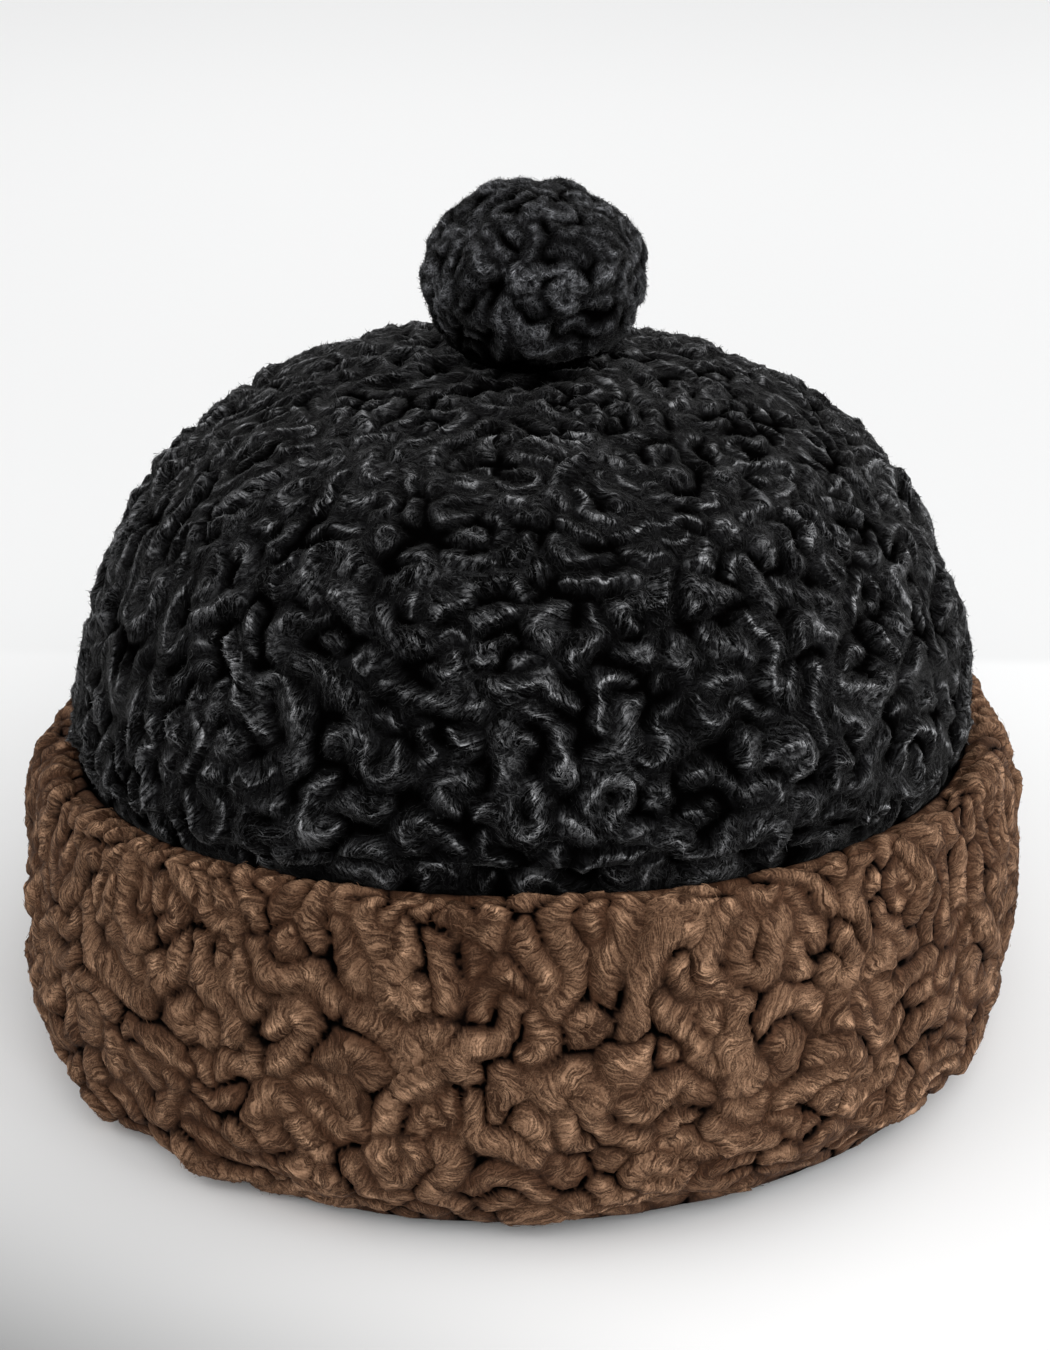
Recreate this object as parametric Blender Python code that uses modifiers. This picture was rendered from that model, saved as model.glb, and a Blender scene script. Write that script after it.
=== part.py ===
"""Karakul cap: a domed black lambskin crown, a turned-up brown lambskin cuff and a black pompom.

The cap stands on its cuff, +Z up, with the origin at the middle of the foot. All sizes are in metres.
Each furry piece is a turned solid whose outer side is pressed into curls: the valleys between the
curls go inwards from the profile, so that the profile is the outline over the tops of the curls.
"""

import math
import random

import bpy
from mathutils import Matrix, Vector
from mathutils.bvhtree import BVHTree
from mathutils.kdtree import KDTree

# Crown: the outline over its curls, its pelt and the part that the cuff hides
CROWN_RADIUS = 0.1013
CROWN_HEIGHT = 0.1520
CROWN_WIDEST_Z = 0.066
CROWN_FULLNESS = 2.4
PELT_THICKNESS = 0.0070
HEAD_RADIUS = 0.0930
TUCK_TOP_Z = 0.0810
TUCK_MIDDLE_RADIUS = 0.0977
TUCK_BOTTOM_Z = 0.0715
HIDDEN_RADIUS = 0.0954
CROWN_EDGE_Z = 0.0058
DIMPLE_RADIUS = 0.024
DIMPLE_FLAT_RADIUS = 0.0096
DIMPLE_BARE_RADIUS = 0.012
DIMPLE_DEPTH = 0.0021

# Cuff: a strip folded up at the foot, with the crown's edge standing in its fold
CUFF_HEIGHT = 0.0765
CUFF_FOOT_RADIUS = 0.0985
CUFF_LOW_RADIUS = 0.1100
CUFF_MIDDLE_RADIUS = 0.1122
CUFF_TOP_RADIUS = 0.1066
CUFF_LOW_Z = 0.0170
CUFF_TOP_ROLL = 0.0047
CUFF_ROLL_END = 0.12
CUFF_BELLY_RISE = 0.004
CUFF_BORE_RADIUS = 0.0963
FOLD_LIP_RADIUS = 0.0922
FOLD_LEDGE_Z = 0.0055
FOOT_INNER_RADIUS = 0.0935
FOOT_CUT = 0.0004
FOOT_BARE_Z = 0.0005
FOOT_FURRY_Z = 0.0050
LIP_LOW_Z = 0.0006
LIP_TOP_Z = 0.0022
LIP_LOW_SHARE = 0.3
BORE_TOP_DROP = 0.004

# Pompom: a stuffed bun whose neck stands in the crown's dimple
POMPOM_RADIUS = 0.0245
POMPOM_CENTRE_Z = 0.1705
POMPOM_TOP_Z = 0.1895
POMPOM_BASE_Z = 0.1502
POMPOM_NECK_RADIUS = 0.0100
POMPOM_BARE_RISE = 0.001
POMPOM_FURRY_RISE = 0.006
POMPOM_TOP_FULLNESS = 2.1
POMPOM_LOW_FULLNESS = 2.7

# Tie: the shank that holds the pompom, with a knot pad under the crown
TIE_RADIUS = 0.0015
TIE_HOLE_RADIUS = 0.0019
TIE_SOCKET_DEPTH = 0.0090
TIE_END_GAP = 0.0006
KNOT_RADIUS = 0.0070
KNOT_THICKNESS = 0.0024
GAP = 0.0003

# Fineness of the turned meshes before their plain areas are thinned out
RING_SPACING = 0.0018
PLAIN_SPACING = 0.0080
CROWN_STEPS = 336
CUFF_STEPS = 360
POMPOM_STEPS = 96
BORE_STEPS = 96
TIE_STEPS = 16
CROWN_TRIANGLES = 5200
CUFF_TRIANGLES = 4400
POMPOM_TRIANGLES = 1200

# Curls of each pelt: spacing between neighbouring curls, depth of the valleys, shape of the walk
CURL_STYLES = {
    "crown": {"seed": 11, "spacing": 0.0078, "depth": 0.0034, "length": (0.014, 0.060), "sharpness": 2.0},
    "cuff": {"seed": 23, "spacing": 0.0092, "depth": 0.0036, "length": (0.016, 0.070), "sharpness": 2.6},
    "pompom": {"seed": 5, "spacing": 0.0072, "depth": 0.0034, "length": (0.012, 0.045), "sharpness": 2.0},
}
STEPS_PER_SPACING = 6
BEND_RADII = (0.50, 0.95)
BEND_ANGLES = (0.9, 3.4)
STRAIGHT_LENGTHS = (0.4, 1.3)
STRAIGHT_SHARE = 0.38
DODGES = (0.0, 0.35, -0.35, 0.7, -0.7, 1.1, -1.1)
CLEARANCE = 0.92
SELF_CLEARANCE = 1.9
NEIGHBOURS = 30
LOWEST_CURL = 0.62
WIDEST_CURL = 1.3
FULL_WIDTH = 1.25
SEED_STRIDE = 5
SHARP_ANGLE = 50

FUR_GROUP = "fur"
BLACK_FUR = (0.012, 0.012, 0.013, 1.0)
BROWN_FUR = (0.115, 0.062, 0.038, 1.0)
TIE_BLACK = (0.020, 0.020, 0.022, 1.0)


def clear_scene():
    """Empties the scene."""
    for obj in list(bpy.data.objects):
        bpy.data.objects.remove(obj, do_unlink=True)


def make_collection(name):
    """A new collection in the scene."""
    collection = bpy.data.collections.new(name)
    bpy.context.scene.collection.children.link(collection)
    return collection


def make_material(name, colour, roughness):
    """A plain dielectric finish."""
    material = bpy.data.materials.new(name)
    material.use_nodes = True
    shader = material.node_tree.nodes["Principled BSDF"]
    shader.inputs["Base Color"].default_value = colour
    shader.inputs["Roughness"].default_value = roughness
    shader.inputs["Metallic"].default_value = 0.0
    return material


def evenly(points, spacing):
    """The same open line with its points about one spacing apart. The ends stay."""
    lengths = [math.dist(a, b) for a, b in zip(points, points[1:])]
    total = sum(lengths)
    count = max(1, round(total / spacing))
    result, index, passed = [], 0, 0.0
    for k in range(count + 1):
        wanted = total * k / count
        while index < len(lengths) - 1 and passed + lengths[index] < wanted:
            passed += lengths[index]
            index += 1
        share = min(1.0, (wanted - passed) / lengths[index])
        (r0, z0), (r1, z1) = points[index], points[index + 1]
        result.append((r0 + (r1 - r0) * share, z0 + (z1 - z0) * share))
    return result


def superellipse(radius, height, base_z, fullness, start, end, count=90):
    """Points of a full quarter arch, from the angle start to the angle end above its widest level."""
    points = []
    for k in range(count + 1):
        angle = start + (end - start) * k / count
        r = radius * max(0.0, math.cos(angle)) ** (2 / fullness)
        z = base_z + height * math.copysign(abs(math.sin(angle)) ** (2 / fullness), angle)
        points.append((r, z))
    return points


def arc(centre, radius, start, end, count=12):
    """Points of a round arc in the profile plane, angles from +X towards +Z."""
    steps = [start + (end - start) * k / count for k in range(count + 1)]
    return [(centre[0] + radius * math.cos(a), centre[1] + radius * math.sin(a)) for a in steps]


def smooth_line(points, count=12):
    """A smooth curve through a few points, as a Catmull-Rom spline."""
    padded = [points[0], *points, points[-1]]
    result = []
    for a, b, c, d in zip(padded, padded[1:], padded[2:], padded[3:]):
        for k in range(count):
            t = k / count
            weights = (-t**3 + 2 * t**2 - t, 3 * t**3 - 5 * t**2 + 2, -3 * t**3 + 4 * t**2 + t, t**3 - t**2)
            result.append(tuple(sum(w * p[i] for w, p in zip(weights, (a, b, c, d))) / 2 for i in (0, 1)))
    return result + [points[-1]]


def ramp(value, low, high):
    """0 below low, 1 above high and smooth between."""
    t = min(1.0, max(0.0, (value - low) / (high - low)))
    return t * t * (3 - 2 * t)


def dimpled(points):
    """The crown's arch with the dimple that the pompom's neck stands in."""
    return [(r, z - DIMPLE_DEPTH * (1 - ramp(r, DIMPLE_FLAT_RADIUS, DIMPLE_RADIUS))) for r, z in points]


def crown_profile():
    """The crown's closed section as points with their share of curl, down the outside and up the inside."""
    height = CROWN_HEIGHT - CROWN_WIDEST_Z
    dome = superellipse(CROWN_RADIUS, height, CROWN_WIDEST_Z, CROWN_FULLNESS, math.pi / 2, 0.0)
    dome = [(r, z) for r, z in dimpled(dome) if r > TIE_HOLE_RADIUS and z > TUCK_TOP_Z]
    top_z = dome[0][1]
    tuck = smooth_line([dome[-1], (TUCK_MIDDLE_RADIUS, 0.5 * (TUCK_TOP_Z + TUCK_BOTTOM_Z)),
                        (HIDDEN_RADIUS, TUCK_BOTTOM_Z)])
    visible = evenly([(TIE_HOLE_RADIUS, top_z), *dome, *tuck[1:]], RING_SPACING)
    hidden = evenly([(HIDDEN_RADIUS, TUCK_BOTTOM_Z), (HIDDEN_RADIUS, CROWN_EDGE_Z)], PLAIN_SPACING)
    inside_height = height - PELT_THICKNESS
    inside = superellipse(HEAD_RADIUS, inside_height, CROWN_WIDEST_Z, CROWN_FULLNESS, 0.0, math.pi / 2)
    inside = [(r, z) for r, z in dimpled(inside) if r > TIE_HOLE_RADIUS]
    bottom_z = inside[-1][1]
    inner = evenly([(HEAD_RADIUS, CROWN_EDGE_Z), *inside, (TIE_HOLE_RADIUS, bottom_z)], PLAIN_SPACING)
    shares = [ramp(r, DIMPLE_BARE_RADIUS, DIMPLE_RADIUS) * ramp(z, TUCK_BOTTOM_Z, TUCK_TOP_Z)
              for r, z in visible]
    plain = hidden[1:] + inner
    return visible + plain, shares + [0.0] * len(plain)


def cuff_profile():
    """The cuff's closed section, from its rolled top edge down outside, over the foot and up the bore."""
    roll_r = CUFF_TOP_RADIUS - CUFF_TOP_ROLL
    roll_z = CUFF_HEIGHT - CUFF_TOP_ROLL
    roll = arc((roll_r, roll_z), CUFF_TOP_ROLL, math.pi, CUFF_ROLL_END)
    belly = (CUFF_MIDDLE_RADIUS, 0.5 * CUFF_HEIGHT + CUFF_BELLY_RISE)
    side = smooth_line([roll[-1], belly, (CUFF_LOW_RADIUS, CUFF_LOW_Z)])
    turn_r = CUFF_LOW_RADIUS - CUFF_FOOT_RADIUS
    turn_z = CUFF_LOW_Z + FOOT_CUT
    turn = [(CUFF_FOOT_RADIUS + turn_r * math.cos(a), -FOOT_CUT + turn_z * (1 - math.sin(a)))
            for a in [math.pi / 2 * k / 14 for k in range(1, 15)]]
    furry = evenly([*roll, *side[1:], *turn], RING_SPACING)
    lip_r = FOOT_INNER_RADIUS - FOLD_LIP_RADIUS
    lip = [(FOOT_INNER_RADIUS, -FOOT_CUT), (FOLD_LIP_RADIUS + LIP_LOW_SHARE * lip_r, LIP_LOW_Z),
           (FOLD_LIP_RADIUS, LIP_TOP_Z)]
    ledge = [(FOLD_LIP_RADIUS, FOLD_LEDGE_Z), (CUFF_BORE_RADIUS - GAP, FOLD_LEDGE_Z)]
    bore_r = CUFF_BORE_RADIUS - GAP
    bore_top_z = roll_z - BORE_TOP_DROP
    bore = evenly([(bore_r, FOLD_LEDGE_Z), (bore_r, bore_top_z), (roll_r - CUFF_TOP_ROLL, roll_z)],
                  PLAIN_SPACING)
    shares = [ramp(z, FOOT_BARE_Z, FOOT_FURRY_Z) * ramp(r, roll_r - CUFF_TOP_ROLL, roll_r)
              for r, z in furry]
    plain = lip + ledge + bore[1:-1]
    return furry + plain, shares + [0.0] * len(plain)


def pompom_profile():
    """The pompom's closed section with its tie socket, from the top down the outside and up the socket."""
    top = superellipse(POMPOM_RADIUS, POMPOM_TOP_Z - POMPOM_CENTRE_Z, POMPOM_CENTRE_Z, POMPOM_TOP_FULLNESS,
                       math.pi / 2, 0.0)
    low = superellipse(POMPOM_RADIUS, POMPOM_CENTRE_Z - POMPOM_BASE_Z, POMPOM_CENTRE_Z, POMPOM_LOW_FULLNESS,
                       0.0, -math.pi / 2)
    low = [(r, z) for r, z in low if r > POMPOM_NECK_RADIUS]
    ball = evenly([*top, *low[1:], (POMPOM_NECK_RADIUS, POMPOM_BASE_Z)], RING_SPACING)
    socket_top = POMPOM_BASE_Z + TIE_SOCKET_DEPTH
    socket = [(TIE_HOLE_RADIUS, POMPOM_BASE_Z), (TIE_HOLE_RADIUS, socket_top), (0.0, socket_top)]
    shares = [ramp(z - POMPOM_BASE_Z, POMPOM_BARE_RISE, POMPOM_FURRY_RISE) for r, z in ball]
    return ball + socket, shares + [0.0] * len(socket)


def tie_profile():
    """The tie's section, from the end of its shank in the pompom down to its knot pad."""
    shank_top = POMPOM_BASE_Z + TIE_SOCKET_DEPTH - TIE_END_GAP
    pad_top = CROWN_HEIGHT - DIMPLE_DEPTH - PELT_THICKNESS - GAP
    pad_low = pad_top - KNOT_THICKNESS
    rim = arc((KNOT_RADIUS - 0.5 * KNOT_THICKNESS, 0.5 * (pad_top + pad_low)), 0.5 * KNOT_THICKNESS,
              math.pi / 2, -math.pi / 2, 6)
    return [(0.0, shank_top), (TIE_RADIUS, shank_top), (TIE_RADIUS, pad_top), *rim, (0.0, pad_low)]


def turned(name, points, shares, steps, closed):
    """A mesh object turned round Z from a profile, with a vertex group that says where it is furry."""
    mesh = bpy.data.meshes.new(name + "_profile")
    count = len(points)
    edges = [(k, k + 1) for k in range(count - 1)] + ([(count - 1, 0)] if closed else [])
    mesh.from_pydata([(r, 0.0, z) for r, z in points], edges, [])
    profile = bpy.data.objects.new(name + "_profile", mesh)
    bpy.context.scene.collection.objects.link(profile)
    group = profile.vertex_groups.new(name=FUR_GROUP)
    for index, share in enumerate(shares):
        group.add([index], share, "REPLACE")
    screw = profile.modifiers.new("turn", "SCREW")
    screw.steps = screw.render_steps = steps
    screw.use_merge_vertices = True
    screw.merge_threshold = 1e-5
    screw.use_smooth_shade = True
    return solidified(name, profile)


def solidified(name, source):
    """The evaluated mesh of an object as a new object, and the old one removed."""
    graph = bpy.context.evaluated_depsgraph_get()
    mesh = bpy.data.meshes.new_from_object(source.evaluated_get(graph))
    groups = [group.name for group in source.vertex_groups]
    bpy.data.objects.remove(source, do_unlink=True)
    mesh.name = name
    made = bpy.data.objects.new(name, mesh)
    for group in groups:
        made.vertex_groups.new(name=group)
    bpy.context.scene.collection.objects.link(made)
    return made


class CurlBed:
    """The middle lines of the curls that already lie on a surface."""

    def __init__(self, spacing):
        self.spacing = spacing
        self.cells = {}
        self.samples = []

    def cell(self, point):
        return tuple(math.floor(c / self.spacing) for c in point)

    def add(self, point, curl, along):
        """Marks one point of a curl, along its length."""
        self.cells.setdefault(self.cell(point), []).append((point, curl, along))

    def is_free(self, point, curl, along):
        """Whether a curl may pass here without touching another, or itself."""
        x, y, z = self.cell(point)
        for i in (x - 1, x, x + 1):
            for j in (y - 1, y, y + 1):
                for k in (z - 1, z, z + 1):
                    for other, owner, place in self.cells.get((i, j, k), ()):
                        if owner == curl and abs(place - along) < SELF_CLEARANCE * self.spacing:
                            continue
                        if (other - point).length < CLEARANCE * self.spacing:
                            return False
        return True


def grow(bed, surface, start, heading, curl, along, sign, limit, rng):
    """Walks a curl's middle line over the surface in bends and straights until it is blocked."""
    step = bed.spacing / STEPS_PER_SPACING
    point, path, left, turn = start, [], 0, 0.0
    while len(path) * step < limit:
        if left <= 0:
            if rng.random() < STRAIGHT_SHARE:
                left = rng.uniform(*STRAIGHT_LENGTHS) * bed.spacing
                turn = 0.0
            else:
                radius = rng.uniform(*BEND_RADII) * bed.spacing
                left = rng.uniform(*BEND_ANGLES) * radius
                turn = rng.choice((-1, 1)) * step / radius
        for dodge in DODGES:
            normal = surface.find_nearest(point)[1]
            aim = Matrix.Rotation(turn + dodge, 3, normal) @ heading
            aim = (aim - normal * aim.dot(normal)).normalized()
            place = surface.find_nearest(point + aim * step)[0]
            if bed.is_free(place, curl, along + sign * step):
                break
        else:
            break
        heading = (place - point).normalized()
        point = place
        along += sign * step
        left -= step
        path.append((point.copy(), along))
        bed.add(point.copy(), curl, along)
    return path


def lay_curls(surface, seeds, style):
    """Covers the surface with curls. Returns samples of their middle lines: (point, curl, along, height)."""
    rng = random.Random(style["seed"])
    bed = CurlBed(style["spacing"])
    rng.shuffle(seeds)
    samples = []
    for curl, seed in enumerate(seeds):
        if not bed.is_free(seed, curl, 0.0):
            continue
        normal = surface.find_nearest(seed)[1]
        heading = Matrix.Rotation(rng.uniform(0, math.tau), 3, normal) @ normal.orthogonal().normalized()
        limit = rng.uniform(*style["length"]) / 2
        height = rng.uniform(LOWEST_CURL, 1.0)
        bed.add(seed, curl, 0.0)
        ahead = grow(bed, surface, seed, heading, curl, 0.0, 1, limit, rng)
        back = grow(bed, surface, seed, -heading, curl, 0.0, -1, limit, rng)
        for point, along in [*reversed(back), (seed, 0.0), *ahead]:
            samples.append((point, curl, along, height))
    return samples


def curl_heights(points, samples, style):
    """How high the fur stands at each point: 1 on a tall curl's crest, 0 in the valleys."""
    tree = KDTree(len(samples))
    for index, sample in enumerate(samples):
        tree.insert(sample[0], index)
    tree.balance()
    apart = SELF_CLEARANCE * style["spacing"]
    widest = WIDEST_CURL * style["spacing"]
    heights = []
    for point in points:
        found = tree.find_n(point, NEIGHBOURS)
        _, first, near = found[0]
        _, curl, along, height = samples[first]
        far = widest
        for _, index, distance in found:
            if samples[index][1] != curl or abs(samples[index][2] - along) > apart:
                far = min(widest, distance)
                break
        edge = min(1.0, 2 * near / (near + far)) if near + far > 0 else 0.0
        width = min(1.0, (near + far) / (FULL_WIDTH * style["spacing"]))
        heights.append(height * width * (1 - edge ** style["sharpness"]))
    return heights


def press_curls(obj, style):
    """Presses the valleys between the curls into the furry side of a turned mesh."""
    mesh = obj.data
    shares = [v.groups[0].weight if v.groups else 0.0 for v in mesh.vertices]
    surface = BVHTree.FromPolygons([v.co for v in mesh.vertices], [list(p.vertices) for p in mesh.polygons])
    furry = [v.index for v in mesh.vertices if shares[v.index] > 0.0]
    seeds = [mesh.vertices[index].co.copy() for index in furry[::SEED_STRIDE]]
    samples = lay_curls(surface, seeds, style)
    heights = curl_heights([mesh.vertices[index].co for index in furry], samples, style)
    normals = [Vector(mesh.vertices[index].normal) for index in furry]
    for index, height, normal in zip(furry, heights, normals):
        mesh.vertices[index].co -= normal * (style["depth"] * shares[index] * (1 - height))


def thinned(name, obj, triangles):
    """The same shape with its mesh thinned to about a number of triangles."""
    thin = obj.modifiers.new("thin", "DECIMATE")
    now = sum(len(p.vertices) - 2 for p in obj.data.polygons)
    thin.ratio = triangles / now
    return solidified(name, obj)


def level_foot(obj, z):
    """Flattens what reaches below a level, as where fur rests on a table."""
    for vertex in obj.data.vertices:
        vertex.co.z = max(vertex.co.z, z)


def finish(obj, material, collection):
    """Gives a piece its material, its shading and its collection."""
    mesh = obj.data
    obj.vertex_groups.clear()
    mesh.materials.clear()
    mesh.materials.append(material)
    mesh.shade_smooth()
    mesh.set_sharp_from_angle(angle=math.radians(SHARP_ANGLE))
    for holder in list(obj.users_collection):
        holder.objects.unlink(obj)
    collection.objects.link(obj)
    return obj


def make_furry(name, profile, steps, triangles, floor_z):
    """A furry piece: turned, pressed into curls, thinned and levelled at its lower edge."""
    points, shares = profile
    rough = turned(name, points, shares, steps, closed=points[0][0] > 0)
    press_curls(rough, CURL_STYLES[name])
    obj = thinned(name, rough, triangles)
    level_foot(obj, floor_z)
    return obj


def make_bore_cutter(cutters):
    """What the cuff's bore is cut with: a round plug, a little wider than the crown's hidden edge."""
    depth = CUFF_HEIGHT - FOLD_LEDGE_Z
    bpy.ops.mesh.primitive_cylinder_add(vertices=BORE_STEPS, radius=CUFF_BORE_RADIUS, depth=depth,
                                        location=(0, 0, FOLD_LEDGE_Z + depth / 2))
    cutter = bpy.context.object
    cutter.name = "cuff_bore_cutter"
    cutter.hide_render = True
    cutter.display_type = "WIRE"
    for holder in list(cutter.users_collection):
        holder.objects.unlink(cutter)
    cutters.objects.link(cutter)
    return cutter


def make_crown(collection, material):
    """The domed crown, open below, with a small hole for the tie at its top."""
    crown = make_furry("crown", crown_profile(), CROWN_STEPS, CROWN_TRIANGLES, CROWN_EDGE_Z)
    return finish(crown, material, collection)


def make_cuff(collection, cutters, material):
    """The turned-up cuff, whose fold carries the crown's edge."""
    cuff = make_furry("cuff", cuff_profile(), CUFF_STEPS, CUFF_TRIANGLES, 0.0)
    bore = cuff.modifiers.new("bore", "BOOLEAN")
    bore.operation = "DIFFERENCE"
    bore.object = make_bore_cutter(cutters)
    return finish(cuff, material, collection)


def make_pompom(collection, material):
    """The pompom with the socket for its tie."""
    pompom = make_furry("pompom", pompom_profile(), POMPOM_STEPS, POMPOM_TRIANGLES, POMPOM_BASE_Z)
    return finish(pompom, material, collection)


def make_tie(collection, material):
    """The tie that goes through the crown, with its knot pad inside."""
    points = tie_profile()
    tie = turned("pompom_tie", points, [0.0] * len(points), TIE_STEPS, closed=False)
    return finish(tie, material, collection)


def main():
    """Builds the cap."""
    clear_scene()
    cap = make_collection("karakul_cap")
    cutters = make_collection("cutters")
    black = make_material("black_karakul", BLACK_FUR, 0.50)
    brown = make_material("brown_karakul", BROWN_FUR, 0.65)
    thread = make_material("tie_thread", TIE_BLACK, 0.70)
    make_crown(cap, black)
    make_cuff(cap, cutters, brown)
    make_pompom(cap, black)
    make_tie(cap, thread)


main()
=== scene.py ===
"""Dresses the karakul cap: curly black crown and pompom, curly brown cuff, tie, floor, light and camera.

Each furry piece is a turned pelt. Curls are laid over its outer side as wandering middle lines, and the
pelt rises over each line and sinks between them. Single strands of wool then lie across the curls.
"""

import logging
import math
import random
from dataclasses import asdict, dataclass, field
from enum import Enum
from typing import Any, Iterator, Optional, Sequence, Union

import bpy
import numpy as np
from mathutils import Matrix, Vector, noise


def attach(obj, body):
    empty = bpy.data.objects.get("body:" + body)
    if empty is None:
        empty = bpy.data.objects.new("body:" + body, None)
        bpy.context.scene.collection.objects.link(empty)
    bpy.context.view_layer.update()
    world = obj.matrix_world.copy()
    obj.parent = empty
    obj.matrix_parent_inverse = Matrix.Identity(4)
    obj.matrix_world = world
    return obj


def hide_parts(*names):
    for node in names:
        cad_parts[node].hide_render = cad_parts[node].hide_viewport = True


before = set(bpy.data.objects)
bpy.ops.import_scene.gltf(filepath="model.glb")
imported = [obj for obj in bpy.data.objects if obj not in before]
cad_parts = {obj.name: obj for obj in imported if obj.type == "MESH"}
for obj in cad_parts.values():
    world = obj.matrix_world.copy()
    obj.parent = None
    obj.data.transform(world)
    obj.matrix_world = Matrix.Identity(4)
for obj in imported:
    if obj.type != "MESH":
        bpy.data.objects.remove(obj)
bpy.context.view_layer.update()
BODY = "root"
MM = 0.001
log = logging.getLogger("karakul_cap")

Point = tuple[float, float]
Colour = tuple[float, float, float]


class Face(Enum):
    """The side of a pelt that a face belongs to, as its material index."""

    FUR = 0
    FLESH = 1


class Grain(Enum):
    """The way in which the curls of a region like to run."""

    FREE = "free"
    UPRIGHT = "upright"
    LEVEL = "level"


def ramp(value: float, low: float, high: float) -> float:
    """Rises smoothly from 0 at low to 1 at high."""
    t = min(1.0, max(0.0, (value - low) / (high - low)))
    return t * t * (3 - 2 * t)


def arch(radius: float, height: float, base_z: float, fullness: float, start: float, end: float,
         count: int = 120) -> list[Point]:
    """Makes points of a full quarter arch.

    Args:
        radius: Its half width.
        height: Its rise over its widest level.
        base_z: The widest level.
        fullness: 2 for an ellipse, more for a squarer arch.
        start: First angle above the widest level.
        end: Last angle.
        count: How many steps the arch has.

    Returns:
        The arch's points as (radius, height).
    """
    points = []
    for k in range(count + 1):
        angle = start + (end - start) * k / count
        r = radius * max(0.0, math.cos(angle)) ** (2 / fullness)
        z = base_z + height * math.copysign(abs(math.sin(angle)) ** (2 / fullness), angle)
        points.append((r, z))
    return points


def smooth_line(points: Sequence[Point], count: int = 16) -> list[Point]:
    """Makes a Catmull-Rom curve through a few points.

    Args:
        points: The points that it passes through.
        count: Steps between two of them.

    Returns:
        The curve's points.
    """
    padded = [points[0], *points, points[-1]]
    result = []
    for a, b, c, d in zip(padded, padded[1:], padded[2:], padded[3:]):
        for k in range(count):
            t = k / count
            weights = (-t**3 + 2 * t**2 - t, 3 * t**3 - 5 * t**2 + 2, -3 * t**3 + 4 * t**2 + t, t**3 - t**2)
            result.append(tuple(sum(w * p[i] for w, p in zip(weights, (a, b, c, d))) / 2 for i in (0, 1)))
    return result + [points[-1]]


def travel(line: np.ndarray) -> np.ndarray:
    """Measures how far along a line each of its points is."""
    return np.concatenate([[0.0], np.cumsum(np.hypot(*np.diff(line, axis=0).T))])


def wander(points: np.ndarray, size: float) -> np.ndarray:
    """Reads a soft noise with waves of a size at many points."""
    return np.array([noise.noise(Vector(point) / size) for point in points])


def turned(r: float, z: float, angles: np.ndarray) -> np.ndarray:
    """Turns a point or a direction of a section to many angles."""
    return np.stack([r * np.cos(angles), r * np.sin(angles), np.full(len(angles), z)], axis=1)


def add_object(name: str, data: bpy.types.ID) -> bpy.types.Object:
    """Adds an object to the scene."""
    thing = bpy.data.objects.new(name, data)
    bpy.context.scene.collection.objects.link(thing)
    return thing


def evenly(points: Sequence[Point], spacing: float) -> list[Point]:
    """Spreads points evenly along an open line.

    Args:
        points: The line.
        spacing: The wanted distance between two points.

    Returns:
        The new points, with both ends kept.
    """
    line = np.array(points)
    travelled = travel(line)
    wanted = np.linspace(0.0, travelled[-1], max(2, round(travelled[-1] / spacing) + 1))
    return list(zip(np.interp(wanted, travelled, line[:, 0]), np.interp(wanted, travelled, line[:, 1])))


@dataclass(frozen=True)
class Stretch:
    """A stretch of a pelt's closed section.

    Attributes:
        points: Its line as (radius, height), in the order of the whole section.
        face: The side of the pelt that it shows.
        spacing: The distance between its rings, and between points along a ring.
    """

    points: list[Point]
    face: Face
    spacing: float


class TurnedSide:
    """The smooth outer side of a pelt, where a place is a distance along its section and an angle."""

    STEP = 0.2 * MM

    def __init__(self, points: Sequence[Point]) -> None:
        """Measures the section.

        Args:
            points: The section's furry stretch.
        """
        line = np.array(points)
        travelled = travel(line)
        self.length = float(travelled[-1])
        where = np.arange(0.0, self.length + self.STEP, self.STEP)
        radii = np.interp(where, travelled, line[:, 0])
        self.radii = radii.tolist()
        self.heights = np.interp(where, travelled, line[:, 1]).tolist()
        self.slopes = np.gradient(radii, self.STEP).tolist()
        self.rises = np.gradient(np.array(self.heights), self.STEP).tolist()

    def index(self, s: float) -> int:
        """Finds the table's entry nearest to a distance along the section."""
        return min(len(self.radii) - 1, max(0, int(s / self.STEP + 0.5)))

    def place(self, s: float, angle: float) -> tuple[float, float, float]:
        """Gives the point in space at a distance along the section and an angle."""
        k = self.index(s)
        return self.radii[k] * math.cos(angle), self.radii[k] * math.sin(angle), self.heights[k]

    def normal(self, s: float, angle: float) -> tuple[float, float, float]:
        """Gives the outward direction at a place."""
        k = self.index(s)
        out, up = -self.rises[k], self.slopes[k]
        size = math.hypot(out, up) or 1.0
        return out / size * math.cos(angle), out / size * math.sin(angle), up / size

    def area(self) -> float:
        """Measures the side's area in square metres."""
        return math.tau * sum(self.radii) * self.STEP


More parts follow.
